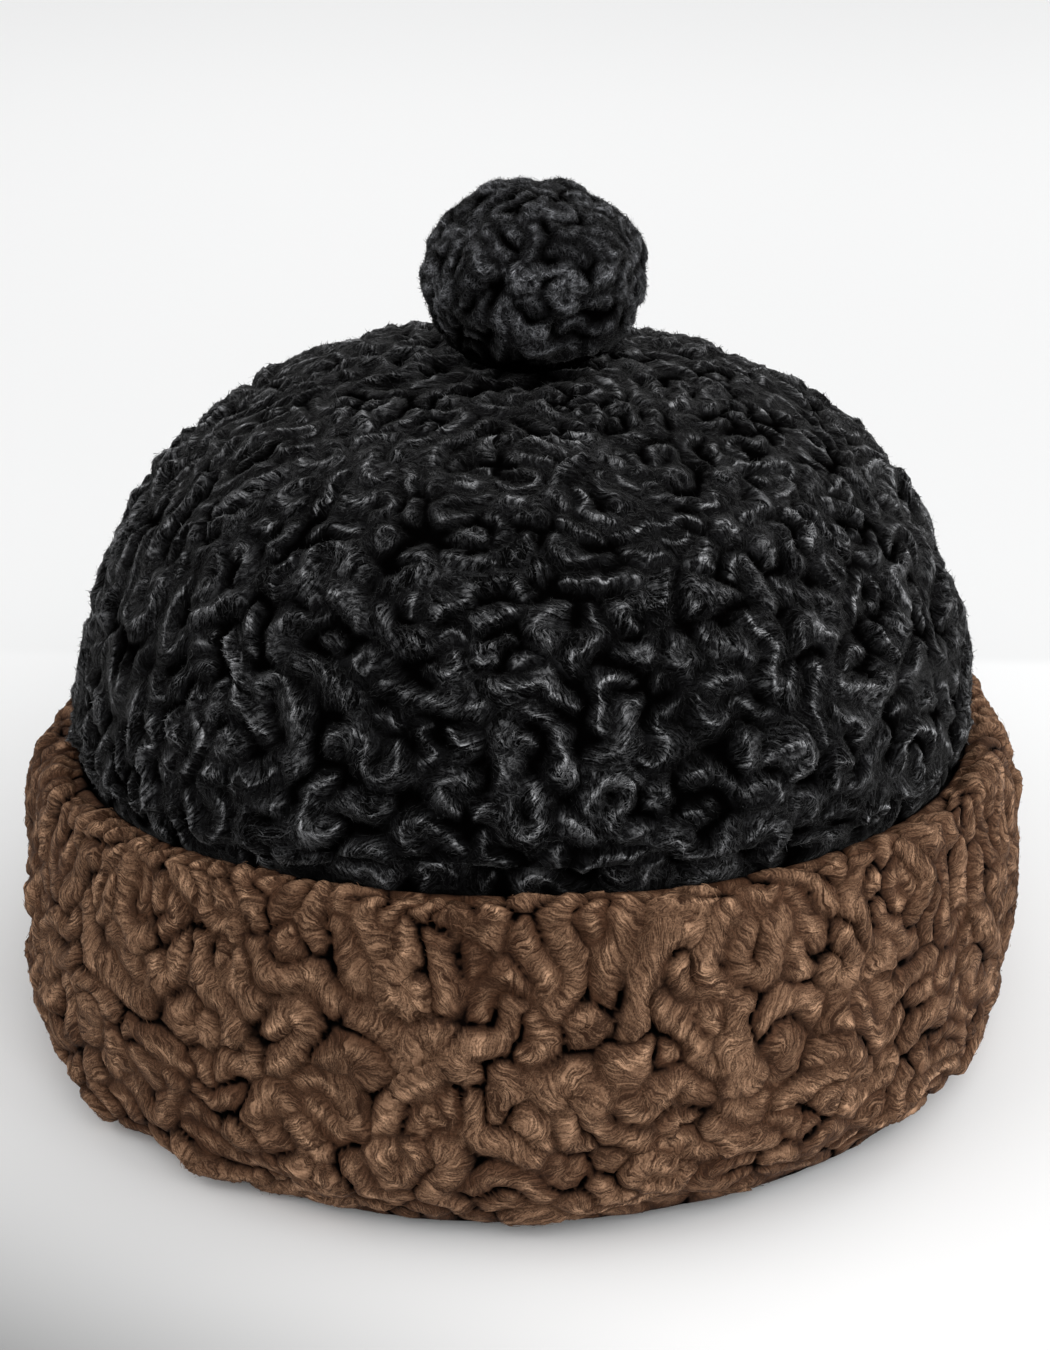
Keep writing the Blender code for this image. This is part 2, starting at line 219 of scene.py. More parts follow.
@dataclass(frozen=True)
class CurlTraits:
    """How the curls of a pelt grow.

    Attributes:
        seed: Seed of everything random.
        spacing: Distance between the middle lines of neighbouring curls.
        variety: How far the spacing strays over the pelt, as a share.
        patch: Size of the patches over which it strays.
        depth: Depth of the valleys between the curls.
        lengths: Shortest and longest curl.
        bends: Tightest and widest bend, in spacings.
        turns: Smallest and largest angle of a bend.
        straights: Shortest and longest straight run, in spacings.
        straight_share: How often a run is straight.
        flanks: Powers of the gentle and the steep flank: low for a hollow slope, high for a plump one.
        crest: Power of the crest: 0.5 for a round one, 1 for a sharp one.
        filled: How far the valleys are filled where they are shallowest, as a share.
        lean: How far a crest leans to its steep side.
        lowest: Height of the lowest curl, as a share of the depth.
        slant: Slant of the strands across a curl.
        sweep: How fast the slant changes across a curl, per metre.
        groove: Depth of the grooves between locks of strands.
        lock: Width of a lock.
        undulation: How far the whole pelt waves in and out.
        opening: Size of the patches where the valleys stay open, in spacings.
    """

    seed: int
    spacing: float
    variety: float
    patch: float
    depth: float
    lengths: tuple[float, float]
    bends: tuple[float, float]
    turns: tuple[float, float]
    straights: tuple[float, float]
    straight_share: float
    flanks: tuple[float, float]
    crest: float
    filled: float
    lean: float
    lowest: float
    slant: tuple[float, float]
    sweep: float
    groove: float
    lock: float
    undulation: float
    opening: float


class CurlBed:
    """The middle lines of the curls that already lie on a pelt."""

    CLEARANCE = 0.92
    OWN_CLEARANCE = 1.9

    def __init__(self, reach: float) -> None:
        """Starts an empty bed whose search cells are as wide as the widest clearance."""
        self.reach = reach
        self.cells: dict[tuple[int, int, int], list[tuple]] = {}

    def cell(self, point: Sequence[float]) -> tuple[int, int, int]:
        """Finds the search cell of a point."""
        return tuple(math.floor(c / self.reach) for c in point)

    def add(self, point: Sequence[float], curl: int, along: float) -> None:
        """Marks a point of a curl at a distance along it."""
        self.cells.setdefault(self.cell(point), []).append((*point, curl, along))

    def is_free(self, point: Sequence[float], curl: int, along: float, spacing: float) -> bool:
        """Tells whether a curl may pass through a point.

        Args:
            point: The point.
            curl: The curl that wants to pass.
            along: How far along that curl the point is.
            spacing: The wanted distance between curls there.

        Returns:
            True if no other curl, and no earlier part of this one, lies too close.
        """
        x, y, z = self.cell(point)
        limit = (self.CLEARANCE * spacing) ** 2
        own = self.OWN_CLEARANCE * spacing
        for i in (x - 1, x, x + 1):
            for j in (y - 1, y, y + 1):
                for k in (z - 1, z, z + 1):
                    for px, py, pz, owner, place in self.cells.get((i, j, k), ()):
                        if owner == curl and abs(place - along) < own:
                            continue
                        if (px - point[0]) ** 2 + (py - point[1]) ** 2 + (pz - point[2]) ** 2 < limit:
                            return False
        return True


@dataclass
class CurlReading:
    """What the curls say at many points of a pelt, one entry a point."""

    rise: np.ndarray
    across: np.ndarray
    strand: np.ndarray
    edge: np.ndarray
    outward: np.ndarray
    painted_gloss: np.ndarray
    crack: np.ndarray
    arc: np.ndarray
    mark: np.ndarray
    flow: np.ndarray
    lean: np.ndarray


class CurlCoat:
    """All the curls of a pelt. Sizes without a unit are in spacings.

    Attributes:
        STEPS: Steps of a middle line in one spacing.
        DODGES: Turns that a blocked curl tries, in radians.
        SEEDS_A_CURL: How many places are tried for each curl.
        HEADING_SPREAD: How far a curl strays from its zone's way, in radians.
        COMB: How strongly a zone turns a curl, a step.
        S_SHARE: How often a bend turns against the one before.
        STUB: Steps under which a curl stays low, and the share that it loses.
        BLOCK: Size of the blocks in which curls are looked up, in metres.
        REACH: How far round a block they are looked for.
        WIDEST: The widest distance to a neighbour that counts.
        FULL_WIDTH: The width at which a curl has its full height.
        KINKS: Size and depth of the kinks across a curl.
        LUMPS: Depth, as a share, and length of the lumps along a curl.
        FLANK_BLEND: Width over which the two flanks blend.
        CLOSED: Usual filling of the valleys and how far it varies.
        CRACK: Places between crest and valley where a crack starts and is full.
        STROKE: Length of the strokes of painted highlight.
        CURL_STEP: How far apart the painted highlight of two curls is read.
        GLOW: Usual painted highlight, and how far strokes and patches change it.
        GLOW_ENDS: The least and the most painted highlight.
        SHINES: Least and most painted highlight of a whole curl.
        SWEEPS: Least and most of the wanted sweep that a curl has.
        LEANS: Least and most of the wanted lean that it has.
        WOBBLE: How far a lean varies, and the length over which it does.
        LOCK_WAVE: Depth, in radians, and length of the waves in the locks.
    """

    STEPS = 6
    DODGES = (0.0, 0.35, -0.35, 0.7, -0.7, 1.1, -1.1)
    SEEDS_A_CURL = 14
    HEADING_SPREAD = 0.35
    COMB = 0.22
    S_SHARE = 0.62
    STUB = (9.0, 0.2)
    BLOCK = 0.014
    REACH = 2.2
    WIDEST = 1.35
    FULL_WIDTH = 1.2
    KINKS = ((0.5, 0.18), (0.22, 0.07))
    LUMPS = (0.16, 0.55)
    FLANK_BLEND = 0.07
    CLOSED = (0.55, 1.9)
    CRACK = (0.80, 0.94)
    STROKE = 0.55
    CURL_STEP = 7.3
    GLOW = (0.7, 1.5, 0.5)
    GLOW_ENDS = (0.05, 1.3)
    SHINES = (0.35, 1.0)
    SWEEPS = (0.3, 1.0)
    LEANS = (0.4, 1.0)
    WOBBLE = (0.4, 0.9)
    LOCK_WAVE = (1.3, 0.3)

    def __init__(self, side: TurnedSide, traits: CurlTraits, grain: "GrainMap") -> None:
        """Lays the curls.

        Args:
            side: The pelt's outer side.
            traits: How its curls grow.
            grain: Which way they like to run.
        """
        self.side = side
        self.traits = traits
        self.grain = grain
        self.rng = random.Random(traits.seed)
        self.bed = CurlBed(traits.spacing * (1 + traits.variety))
        self.samples: list[tuple] = []
        self.spans: list[tuple[int, int]] = []
        self.lay()

    def spacing_at(self, point: Sequence[float]) -> float:
        """Gives the distance between curls at a point."""
        stray = noise.noise(Vector(point) / self.traits.patch + Vector((self.traits.seed, 0, 0)))
        return self.traits.spacing * self.grain.closeness(point) * (1 + self.traits.variety * stray)

    def grow(self, s: float, angle: float, heading: float, curl: int, sign: int, limit: float) -> list[tuple]:
        """Walks a curl's middle line over the side in bends and straights until it is blocked.

        Args:
            s: Start along the section.
            angle: Start round the axis.
            heading: First direction, from down the section towards growing angles.
            curl: The curl's number.
            sign: 1 for the curl's head, -1 for its tail.
            limit: The longest way.

        Returns:
            Its points, as (point, normal, along).
        """
        rng, traits, side = self.rng, self.traits, self.side
        path, left, turn, bend_sign = [], 0.0, 0.0, rng.choice((-1, 1))
        along = 0.0
        while abs(along) < limit:
            point = side.place(s, angle)
            spacing = self.spacing_at(point)
            step = spacing / self.STEPS
            if left <= 0:
                if rng.random() < traits.straight_share:
                    left = rng.uniform(*traits.straights) * spacing
                    turn = 0.0
                else:
                    radius = rng.uniform(*traits.bends) * spacing
                    left = rng.uniform(*traits.turns) * radius
                    bend_sign = -bend_sign if rng.random() < self.S_SHARE else bend_sign
                    turn = bend_sign * step / radius
            wish, will = self.grain.wish(point)
            combed = will * self.COMB * math.sin(2 * (wish - heading))
            for dodge in self.DODGES:
                aim = heading + turn + combed + dodge
                new_s = s + step * math.cos(aim)
                if not 0 < new_s < side.length:
                    continue
                radius_here = max(side.radii[side.index(s)], step)
                new_angle = angle + step * math.sin(aim) / radius_here
                place = side.place(new_s, new_angle)
                if self.bed.is_free(place, curl, along + sign * step, spacing):
                    break
            else:
                break
            k = side.index(s)
            heading = aim - step * math.sin(aim) * side.slopes[k] / radius_here
            s, angle = new_s, new_angle
            along += sign * step
            left -= step
            path.append((place, side.normal(s, angle), along, spacing))
            self.bed.add(place, curl, along)
        return path

    def lay(self) -> None:
        """Covers the side with curls."""
        traits, side, rng = self.traits, self.side, self.rng
        tries = int(self.SEEDS_A_CURL * side.area() / traits.spacing**2)
        weights = np.cumsum(side.radii)
        curl = 0
        for _ in range(tries):
            k = int(np.searchsorted(weights, rng.random() * weights[-1]))
            s, angle = k * side.STEP, rng.uniform(-math.pi, math.pi)
            point = side.place(s, angle)
            spacing = self.spacing_at(point)
            if not self.bed.is_free(point, curl, 0.0, spacing):
                continue
            wish, will = self.grain.wish(point)
            heading = rng.uniform(0, math.tau)
            if rng.random() < will:
                heading = wish + rng.gauss(0, self.HEADING_SPREAD) + rng.choice((0, math.pi))
            limit = rng.uniform(*traits.lengths) / 2 * spacing / traits.spacing
            self.bed.add(point, curl, 0.0)
            ahead = self.grow(s, angle, heading, curl, 1, limit)
            back = self.grow(s, angle, heading + math.pi, curl, -1, limit)
            line = [*reversed(back), (point, side.normal(s, angle), 0.0, spacing), *ahead]
            self.spans.append((len(self.samples), len(self.samples) + len(line)))
            self.samples.extend((place, normal, along, gap, curl) for place, normal, along, gap in line)
            curl += 1
        self.pack()

    def pack(self) -> None:
        """Turns the samples into arrays, with a direction and random traits for each curl."""
        traits = self.traits
        self.points, self.normals, self.along, self.gaps, self.curls = map(np.array, zip(*self.samples))
        self.tangents = np.zeros_like(self.points)
        self.ends = np.zeros(len(self.points))
        for start, stop in self.spans:
            line = self.points[start:stop]
            if len(line) == 1:
                self.tangents[start] = Vector(self.normals[start]).orthogonal().normalized()
                self.ends[start] = 2
                continue
            tangent = np.gradient(line, axis=0)
            self.tangents[start:stop] = tangent / np.linalg.norm(tangent, axis=1, keepdims=True)
            self.ends[start], self.ends[stop - 1] = -1, 1
        self.sides = np.cross(self.normals, self.tangents)
        count = len(self.spans)
        rng = np.random.default_rng(traits.seed)
        lengths = np.array([stop - start for start, stop in self.spans])
        steps, loss = self.STUB
        stubby = np.clip(lengths / steps, 0.0, 1.0)
        self.heights = (traits.lowest + (1 - traits.lowest) * rng.random(count)) * (1 - loss + loss * stubby)
        self.marks = rng.random(count)
        self.slants = rng.uniform(*traits.slant, count) * rng.choice((-1, 1), count)
        self.sweeps = traits.sweep * rng.uniform(*self.SWEEPS, count) * rng.choice((-1, 1), count)
        self.steeps = rng.choice((-1.0, 1.0), count)
        self.leans = traits.lean * rng.uniform(*self.LEANS, count) * self.steeps
        self.shines = rng.uniform(*self.SHINES, count)
        self.phases = rng.uniform(0, math.tau, (count, 3))

    def read(self, where: np.ndarray) -> CurlReading:
        """Reads the curls at many points.

        Args:
            where: The points, one a row.

        Returns:
            What the curls say there.
        """
        nearest = np.zeros(len(where), dtype=int)
        far = np.zeros(len(where))
        blocks = np.floor(where / self.BLOCK).astype(int)
        keys, owners = np.unique(blocks, axis=0, return_inverse=True)
        owners = owners.ravel()
        order = np.argsort(owners, kind="stable")
        bounds = np.searchsorted(owners[order], np.arange(len(keys) + 1))
        reach = 0.5 * self.BLOCK + self.REACH * self.traits.spacing
        for key, start, stop in zip(keys, bounds[:-1], bounds[1:]):
            rows = order[start:stop]
            middle = (key + 0.5) * self.BLOCK
            near = np.flatnonzero(np.all(np.abs(self.points - middle) < reach, axis=1))
            gaps = np.linalg.norm(where[rows, None, :] - self.points[None, near, :], axis=2)
            first = np.argmin(gaps, axis=1)
            found = near[first]
            own = self.curls[near][None, :] == self.curls[found][:, None]
            apart = np.abs(self.along[near][None, :] - self.along[found][:, None])
            own &= apart < CurlBed.OWN_CLEARANCE * self.gaps[found][:, None]
            gaps[own] = np.inf
            nearest[rows] = found
            far[rows] = np.minimum(gaps.min(axis=1), self.WIDEST * self.gaps[found])
        return self.describe(where, nearest, far)

    def describe(self, where: np.ndarray, nearest: np.ndarray, far: np.ndarray) -> CurlReading:
        """Works out the coat at points whose nearest curl is known.

        Args:
            where: The points.
            nearest: The nearest sample of each.
            far: The distance to the next curl's middle line.

        Returns:
            What the curls say there.
        """
        traits = self.traits
        curl = self.curls[nearest]
        offset = where - self.points[nearest]
        across = np.einsum("ij,ij->i", offset, self.sides[nearest])
        for size, depth in self.KINKS:
            across += depth * traits.spacing * wander(where, size * traits.spacing)
        forward = np.einsum("ij,ij->i", offset, self.tangents[nearest])
        along = self.along[nearest] + forward
        ends = self.ends[nearest]
        beyond = np.where(ends == 2, np.abs(forward), np.maximum(0.0, forward * ends))
        near = np.hypot(across, np.where(ends == 0, 0.0, beyond))
        far = np.maximum(far, near)
        total = np.maximum(near + far, 1e-6)
        edge = np.minimum(1.0, 2 * near / total)
        width = np.minimum(1.0, total / (self.FULL_WIDTH * self.gaps[nearest]))
        phase = self.phases[curl]
        depth, length = self.LUMPS
        lumps = 0.5 + 0.5 * np.sin(along / (length * traits.spacing) + phase[:, 0])
        swell = self.heights[curl] * (1 - depth * lumps) * width
        outward = across * self.steeps[curl] / traits.spacing
        gentle, steep = traits.flanks
        power = gentle + (steep - gentle) * (0.5 + 0.5 * np.tanh(outward / self.FLANK_BLEND))
        profile = (1 - edge**power) ** traits.crest
        stray = wander(where, traits.opening * traits.spacing)
        usual, change = self.CLOSED
        closed = np.clip(usual + change * stray, 0, 1)
        filled = traits.filled * closed
        rise = swell * (profile * (1 - filled) + filled)
        first, last = self.CRACK
        crack = np.clip((edge - first) / (last - first), 0, 1) * (1 - closed)
        places = np.stack([along / (self.STROKE * traits.spacing), self.CURL_STEP * curl,
                           across / traits.spacing], axis=1)
        # Painted gloss: strokes and patches of painted highlight along each curl.
        usual, by_stroke, by_patch = self.GLOW
        painted_gloss = np.clip(usual + by_stroke * wander(places, 1.0) + by_patch * stray, *self.GLOW_ENDS)
        painted_gloss = self.shines[curl] * painted_gloss * np.sqrt(width)
        slant, sweep = self.slants[curl], self.sweeps[curl]
        strand = along - slant * across - sweep * across**2
        flow = self.sides[nearest] + self.tangents[nearest] * (slant + 2 * sweep * across)[:, None]
        flow /= np.linalg.norm(flow, axis=1, keepdims=True)
        depth, length = self.WOBBLE
        wobble = depth * np.sin(along / (length * traits.spacing) + phase[:, 1])
        lean = self.sides[nearest] * (self.leans[curl] * (1 + wobble) * rise)[:, None]
        depth, length = self.LOCK_WAVE
        waves = depth * np.sin(across / (length * traits.spacing))
        locks = strand * math.tau / traits.lock + phase[:, 2] + waves
        groove = traits.groove * (0.5 - 0.5 * np.cos(locks)) * np.sqrt(np.clip(rise, 0, 1))
        rise = rise - groove / traits.depth
        return CurlReading(rise, across, strand, edge, outward, painted_gloss, crack, sweep, self.marks[curl], flow,
                           lean)


@dataclass(frozen=True)
class GrainZone:
    """A zone of a pelt where curls share a way to run.

    Attributes:
        grain: The way.
        low: Height at which the zone starts to fade in.
        high: Height at which it has faded in. Swap both for a zone that lies below.
        will: How strongly the curls keep to it.
        angles: First and last angle round the axis, in degrees from +X, or None for all round.
    """

    grain: Grain
    low: float
    high: float
    will: float
    angles: Optional[tuple[float, float]] = None

    def weight(self, point: Sequence[float]) -> float:
        """Gives the zone's hold on a point, from 0 to its will."""
        held = ramp(point[2], self.low, self.high) if self.high > self.low else \
            1 - ramp(point[2], self.high, self.low)
        if self.angles:
            angle = math.degrees(math.atan2(point[1], point[0])) % 360
            first, last = self.angles
            held *= 1.0 if first <= angle <= last else 0.0
        return held * self.will


@dataclass(frozen=True)
class GrainMap:
    """Which way the curls of a pelt like to run, and where they lie closer.

    Attributes:
        zones: Its zones. The strongest one at a point counts.
        close_low: Height above which the curls begin to lie closer.
        close_high: Height at which they lie closest.
        closest: Their spacing there, as a share.
    """

    zones: tuple[GrainZone, ...] = ()
    close_low: float = 10.0
    close_high: float = 11.0
    closest: float = 1.0

    def wish(self, point: Sequence[float]) -> tuple[float, float]:
        """Gives the wanted heading at a point and how much it is wanted."""
        best, will = Grain.FREE, 0.0
        for zone in self.zones:
            weight = zone.weight(point)
            if weight > will:
                best, will = zone.grain, weight
        return (math.pi / 2 if best is Grain.LEVEL else 0.0), will

    def closeness(self, point: Sequence[float]) -> float:
        """Gives the share of the usual spacing that holds at a point."""
        return 1 - (1 - self.closest) * ramp(point[2], self.close_low, self.close_high)


class Tree:
    """A node tree that is written as Python calls and expressions."""

    def __init__(self, tree: bpy.types.NodeTree) -> None:
        """Wraps a tree, emptied of its nodes."""
        self.tree = tree
        tree.nodes.clear()

    def node(self, kind: str, settings: Optional[dict[str, Any]] = None,
             inputs: Optional[dict[Any, Any]] = None) -> bpy.types.Node:
        """Adds a node.

        Args:
            kind: The node's type.
            settings: Its own settings, set before its sockets.
            inputs: Values or links of its sockets, by name or number.

        Returns:
            The new node.
        """
        node = self.tree.nodes.new(kind)
        for name, value in (settings or {}).items():
            setattr(node, name, value)
        for key, value in (inputs or {}).items():
            self.feed(self.find(node, key), value)
        return node

    @staticmethod
    def find(node: bpy.types.Node, key: Union[str, int]) -> bpy.types.NodeSocket:
        """Finds an enabled input of a node by name, or any by number."""
        if isinstance(key, int):
            return node.inputs[key]
        return next(socket for socket in node.inputs if socket.name == key and socket.enabled)

    def feed(self, socket: bpy.types.NodeSocket, value: Any) -> None:
        """Links a socket to a value's socket, or sets its own value."""
        if isinstance(value, Value):
            self.tree.links.new(value.socket, socket)
        elif isinstance(value, bpy.types.NodeSocket):
            self.tree.links.new(value, socket)
        else:
            socket.default_value = value

    def value(self, kind: str, settings: Optional[dict[str, Any]] = None,
              inputs: Optional[dict[Any, Any]] = None, output: Union[str, int] = 0) -> "Value":
        """Adds a node and gives one of its outputs as a value."""
        node = self.node(kind, settings, inputs)
        if isinstance(output, int):
            return Value(self, node.outputs[output])
        return Value(self, next(s for s in node.outputs if s.name == output and s.enabled))

    def mix(self, share: Any, first: Any, second: Any) -> "Value":
        """Mixes two colours by a share."""
        node = self.node("ShaderNodeMix", {"data_type": "RGBA"}, {"Factor": share, "A": first, "B": second})
        return Value(self, next(s for s in node.outputs if s.enabled))

    def place(self) -> "Value":
        """Gives the place on the object."""
        return self.value("ShaderNodeTexCoord", output="Object")

    def noise(self, place: Any, scale: float, detail: float = 2.0) -> "Value":
        """Adds a cloudy pattern."""
        return self.value("ShaderNodeTexNoise", {}, {"Vector": place, "Scale": scale, "Detail": detail},
                          "Fac")

    def parts(self, vector: Any) -> tuple["Value", ...]:
        """Gives the three parts of a vector."""
        node = self.node("ShaderNodeSeparateXYZ", inputs={0: vector})
        return tuple(Value(self, socket) for socket in node.outputs)

    def shaded(self, colour: Any, share: Any) -> "Value":
        """Darkens a colour to a share of its brightness."""
        return self.value("ShaderNodeHueSaturation", {}, {"Color": colour, "Value": share})

    def bump(self, height: Any, distance: float, strength: float = 1.0) -> "Value":
        """Gives the direction of a surface with a relief."""
        return self.value("ShaderNodeBump", {},
                          {"Height": height, "Distance": distance, "Strength": strength})

    def remap(self, value: Any, low: float, high: float, new_low: float = 0.0,
              new_high: float = 1.0) -> "Value":
        """Maps a value smoothly from one range to another, clamped."""
        return self.value("ShaderNodeMapRange", {"interpolation_type": "SMOOTHSTEP"},
                          {"Value": value, "From Min": low, "From Max": high, "To Min": new_low,
                           "To Max": new_high})


class Value:
    """A socket that takes part in Python expressions."""

    def __init__(self, tree: Tree, socket: bpy.types.NodeSocket) -> None:
        """Wraps a socket of a tree."""
        self.tree = tree
        self.socket = socket

    def math(self, operation: str, *others: Any) -> "Value":
        """Adds a Math node with this value first."""
        inputs = {0: self, **{k + 1: other for k, other in enumerate(others)}}
        return self.tree.value("ShaderNodeMath", {"operation": operation}, inputs)

    def before(self, operation: str, other: Any) -> "Value":
        """Adds a Math node with another value first."""
        return self.tree.value("ShaderNodeMath", {"operation": operation}, {0: other, 1: self})

    def __add__(self, other: Any) -> "Value":
        """Adds."""
        return self.math("ADD", other)

    def __radd__(self, other: Any) -> "Value":
        """Adds, reflected."""
        return self.before("ADD", other)

    def __sub__(self, other: Any) -> "Value":
        """Subtracts."""
        return self.math("SUBTRACT", other)

    def __rsub__(self, other: Any) -> "Value":
        """Subtracts, reflected."""
        return self.before("SUBTRACT", other)

    def __mul__(self, other: Any) -> "Value":
        """Multiplies."""
        return self.math("MULTIPLY", other)

    def __rmul__(self, other: Any) -> "Value":
        """Multiplies, reflected."""
        return self.before("MULTIPLY", other)

    def __pow__(self, other: Any) -> "Value":
        """Raises to a power."""
        return self.math("POWER", other)


@dataclass(frozen=True)
class Crimp:
    """The small waves along every strand of wool.

    Attributes:
        depth: How far a strand goes to each side.
        length: Length of a wave.
    """

    depth: float
    length: float

    MARK_TURN = 37.0
    DRIFT = 0.35

    def turn(self, strand: Value, across: Value, mark: Value) -> Value:
        """Gives the sine of a wave at a place of a strand, with places in millimetres."""
        angle = across * (math.tau * MM / self.length) + mark * self.MARK_TURN + strand * self.DRIFT
        return angle.math("SINE")


@dataclass(frozen=True)
class Finish:
    """A surface's procedural material.

    Attributes:
        name: The material's name.
        roughness: How rough it is.
        specular: Strength of its mirror-like share.
    """

    name: str
    roughness: float
    specular: float

    def start(self) -> tuple[bpy.types.Material, Tree, bpy.types.Node]:
        """Makes an empty material with its shader.

        Returns:
            The material, its tree and its Principled BSDF.
        """
        material = bpy.data.materials.new(self.name)
        material.use_nodes = True
        tree = Tree(material.node_tree)
        shader = tree.node("ShaderNodeBsdfPrincipled",
                           inputs={"Roughness": self.roughness, "Specular IOR Level": self.specular,
                                   "Metallic": 0.0})
        tree.node("ShaderNodeOutputMaterial", inputs={"Surface": shader.outputs[0]})
        return material, tree, shader


@dataclass(frozen=True)
class WoolFinish(Finish):
    """What all wool has: a painted highlight band along each curl's crest, wide on its gentle flank, and
    painted shade in its hollows and cracks.

    Attributes:
        band: Widths of the painted highlight band on the gentle and on the steep flank, in spacings.
        light_share: How much of the light colour the painted highlight bands take.
        haze: How much of the light colour the raised wool takes all over, as a painted highlight.
        sheen: Strength of the velvety sheen.
        strand_width: Width of a single strand in the pattern.
        crimp: The waves of the strands.
        contrast: Values of the strand pattern that are fully dark and fully light.
        crevice: Rises between which the wool goes from its painted valley shade to its usual colour.
        shut: How dark the painted shade in the cracks between curls is, as a share.
        veil: How far the gloss goes between the strands, as a share.
        nap: How far a fine nap breaks the strands up, as a share.
        clump: How far the painted haze gathers in small clumps, as a share.
    """

    band: tuple[float, float] = (0.2, 0.1)
    light_share: float = 0.5
    haze: float = 0.1
    sheen: float = 0.0
    strand_width: float = 0.0004
    crimp: Crimp = Crimp(0.0001, 0.0024)
    contrast: tuple[float, float] = (0.38, 0.62)
    crevice: tuple[float, float] = (0.0, 0.5)
    shut: float = 0.9
    veil: float = 0.0
    nap: float = 0.0
    clump: float = 0.0

    LINES = ((1.0, 0.20, 0.08), (2.2, 0.34, 0.10), (4.5, 0.26, 0.16), (10.0, 0.20, 0.28))
    FINEST = 3.0
    RELIEF = 0.4
    MARK_GAP = 61.0
    CREST_ENDS = (0.45, 0.85)
    HAZE_ENDS = (0.15, 0.75)
    CLUMP_ENDS = (0.38, 0.62)
    HOLLOW_END = 0.6
    # Near-black matte colour swapped in as painted shade in the hollows.
    BARE = (0.0006, 0.0005, 0.0005, 1.0)
    NAP_SIZE = 0.4 * MM
    CLUMP_SIZE = 1.4 * MM

    @staticmethod
    def reading(tree: Tree, name: str) -> Value:
        """Reads a number that the pelt's points carry."""
        return tree.value("ShaderNodeAttribute", {"attribute_name": name}, output="Fac")

    def lit(self, tree: Tree) -> Value:
        """Gives the share of light colour at a point: a painted highlight along the crests and a painted haze
        on raised wool.

        Args:
            tree: The material's tree.

        Returns:
            The share, before single strands break it up.
        """
        outward = self.reading(tree, "outward")
        wide, narrow = self.band
        gentle = tree.remap(outward, -wide, 0.0)
        steep = tree.remap(outward, 0.0, narrow, 1.0, 0.0)
        crest = tree.remap(self.reading(tree, "edge"), *self.CREST_ENDS, 1.0, 0.0)
        # Painted highlight band along the crest, strengthened by the painted gloss strokes.
        band = gentle * steep * crest * self.reading(tree, "painted_gloss")
        clumps = tree.noise(tree.place(), 1 / self.CLUMP_SIZE)
        # Painted haze: raised wool is lightened all over, broken into clumps.
        fuzz = tree.remap(self.reading(tree, "rise"), *self.HAZE_ENDS) * self.haze
        fuzz = fuzz * tree.remap(clumps, *self.CLUMP_ENDS, 1 - self.clump, 1 + self.clump)
        return band * self.light_share + fuzz

    def standing(self, tree: Tree) -> Value:
        """Gives how far the wool stands out of the hollows and cracks, from 0 to 1: the mask of the painted
        shade there.
        """
        rise = tree.remap(self.reading(tree, "rise"), *self.crevice)
        return rise * (1.0 - self.reading(tree, "crack") * self.shut)

    def colour(self, tree: Tree, shader: bpy.types.Node, colour: Value, standing: Value, hair: Value) -> None:
        """Colours the wool, and swaps in a near-black matte diffuse as painted shade where it lies deep, and
        between its strands.

        Args:
            tree: The material's tree.
            shader: The shader of the standing wool, linked to the output.
            colour: Its colour.
            standing: How far the wool stands out, the mask of the painted shade.
            hair: How light a strand is.
        """
        tree.feed(shader.inputs["Base Color"], colour)
        shader.inputs["Sheen Weight"].default_value = self.sheen
        # Painted shade: a near-black matte diffuse takes over in the hollows.
        painted_hollow_shade = tree.node("ShaderNodeBsdfDiffuse", inputs={"Color": self.BARE})
        share = tree.remap(standing, 0.0, self.HOLLOW_END) * (hair * self.veil + (1.0 - self.veil))
        mixed = tree.value("ShaderNodeMixShader", {}, {0: share, 1: painted_hollow_shade.outputs[0], 2: shader.outputs[0]})
        output = next(node for node in tree.tree.nodes if node.type == "OUTPUT_MATERIAL")
        tree.feed(output.inputs["Surface"], mixed)

    def wool(self, tree: Tree) -> tuple[Value, Value]:
        """Makes the pattern of strands that lie together in tufts and locks.

        Args:
            tree: The material's tree.

        Returns:
            How light a strand is, from 0 to 1, and the strands' relief.
        """
        space = tree.value("ShaderNodeAttribute", {"attribute_name": "strand_space"}, output="Vector")
        strand, across, mark = tree.parts(space)
        strand = strand - self.crimp.turn(strand, across, mark) * (self.crimp.depth / MM)
        total, relief = 0.0, None
        for size, share, wander in self.LINES:
            lines = self.strands(tree, strand, across, mark, size * self.strand_width, wander)
            total = lines * share + total
            if size < self.FINEST:
                relief = lines * self.RELIEF + (relief or 0.0)
        nap = tree.noise(tree.place(), 1 / self.NAP_SIZE)
        return tree.remap(total * (1 - self.nap) + nap * self.nap, *self.contrast), relief

    def strands(self, tree: Tree, strand: Value, across: Value, mark: Value, width: float,
                wander: float) -> Value:
        """Makes lines that run along the strands.

        Args:
            tree: The material's tree.
            strand: Place along the curl, the same all along a strand.
            across: Place along the strand.
            mark: The curl's own number.
            width: Width of a line.
            wander: Width of a line as a share of its length.

        Returns:
            The pattern, about 0.5 on average.
        """
        line = tree.value("ShaderNodeCombineXYZ", {}, {"X": strand * (MM / width),
                                                       "Y": across * (MM / width * wander),
                                                       "Z": mark * self.MARK_GAP})
        return tree.noise(line, 1.0, 1.0)


